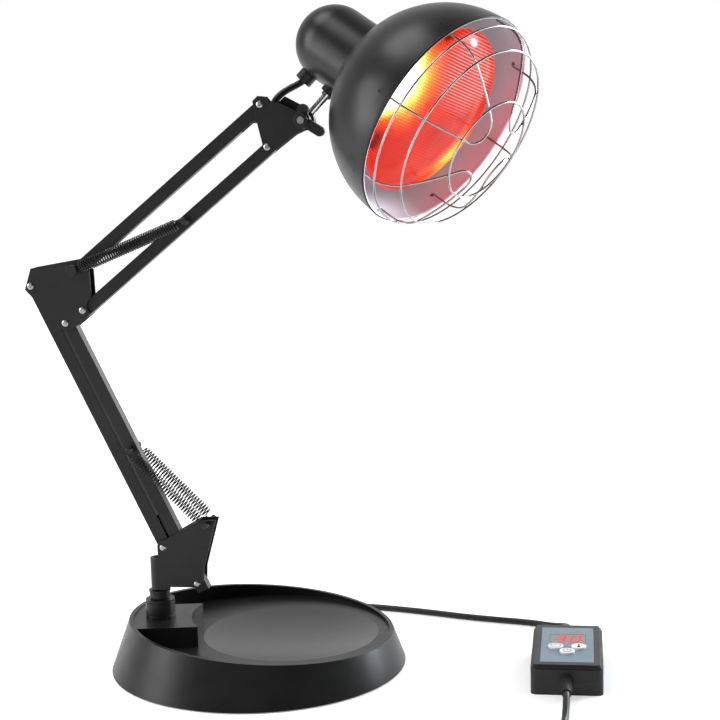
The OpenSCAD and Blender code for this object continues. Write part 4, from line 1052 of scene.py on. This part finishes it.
def polish_dish():
    """The dish is moulded smoother than the ring around it."""
    mesh = nodes["base_shell"].data
    mesh.materials.append(dish_black)
    for face in mesh.polygons:
        c = face.center
        inside = math.hypot(c.x - DISH_AT.x, c.y - DISH_AT.y) < DISH_R
        if inside and DISH_LOW < c.z < DISH_TOP and face.normal.z > 0.5:
            face.material_index = 1


polish_dish()


# ======================= floor and light =======================
DIFFUSE_LEVEL = 0.55
DARK_SIDE = 0.08
FLOOR_LIFT = (0.25, 0.62)
FLOOR_NEAR, FLOOR_FAR = 0.35, 1.6


def plain_white(name):
    """A pale floor that reads white to the eye and in reflections, and keeps its shadows."""
    m = Surface(name, Specular_IOR_Level=0.1)
    cloud = m.noise(2, 2)
    m.feed("Base Color", m.ramp(cloud, [(0.2, grey(0.88)), (0.8, grey(0.9))]))
    m.feed("Roughness", m.spread(cloud, 0.75, 0.85))
    m.shader.inputs["Emission Color"].default_value = (1, 1, 1, 1)
    seen = m.light_path("Is Camera Ray", "Is Glossy Ray", "Is Transmission Ray")
    away = m.node("ShaderNodeVectorMath", operation="LENGTH")
    m.join(m.node("ShaderNodeTexCoord").outputs["Object"], away.inputs[0])
    lift = m.spread(away.outputs["Value"], *FLOOR_LIFT, FLOOR_NEAR, FLOOR_FAR)
    m.feed("Emission Strength", m.times(seen, lift))
    return m.material


def make_floor():
    floor = mesh_piece("floor", lambda bm: bmesh.ops.create_grid(bm, x_segments=8, y_segments=8, size=30),
                       plain_white("floor_white"), smooth=False)


def soft_box(name, place, towards, size, power, colour=(1, 1, 1)):
    data = bpy.data.lights.new(name, "AREA")
    data.shape = "RECTANGLE"
    data.size, data.size_y = size
    data.energy = power
    data.color = colour
    light = link(name, data)
    place, towards = Vector(place), Vector(towards)
    turn = (towards - place).to_track_quat("-Z", "Y").to_matrix().to_4x4()
    light.matrix_world = Matrix.Translation(place) @ turn


def make_world():
    """A white backdrop behind the lamp, in a studio that is dim on the near side."""
    world = bpy.data.worlds.new("studio")
    m = Nodes(world)
    background = m.tree.nodes["Background"]
    background.inputs["Color"].default_value = (1, 1, 1, 1)
    direction = m.node("ShaderNodeSeparateXYZ")
    m.join(m.node("ShaderNodeTexCoord").outputs["Generated"], direction.inputs["Vector"])
    backdrop = m.spread(direction.outputs["Y"], DARK_SIDE, 1, 0.1, 0.95)
    seen = m.light_path("Is Camera Ray", "Is Transmission Ray")
    glossy = m.light_path("Is Glossy Ray")
    others = m.math("SUBTRACT", 1, m.math("MAXIMUM", seen, glossy))
    level = m.plus(m.math("MAXIMUM", seen, m.times(glossy, backdrop)), m.times(others, DIFFUSE_LEVEL))
    m.join(level, background.inputs["Strength"])
    bpy.context.scene.world = world


make_floor()
make_world()
soft_box("left_light", (-1.6, -0.45, 0.8), (0, 0, 0.2), (0.8, 1.2), 22)
soft_box("right_light", (1.3, 0.6, 0.5), (0.05, 0, 0.15), (0.26, 1.0), 15, (0.86, 0.93, 1))
soft_box("top_light", (-0.55, -0.1, 1.9), (0, 0, 0.2), (1.0, 0.8), 14)
soft_box("back_light", (1.1, 1.7, 0.75), (0.02, 0, 0.02), (0.7, 0.5), 16)
bpy.context.scene.view_settings.view_transform = "Standard"
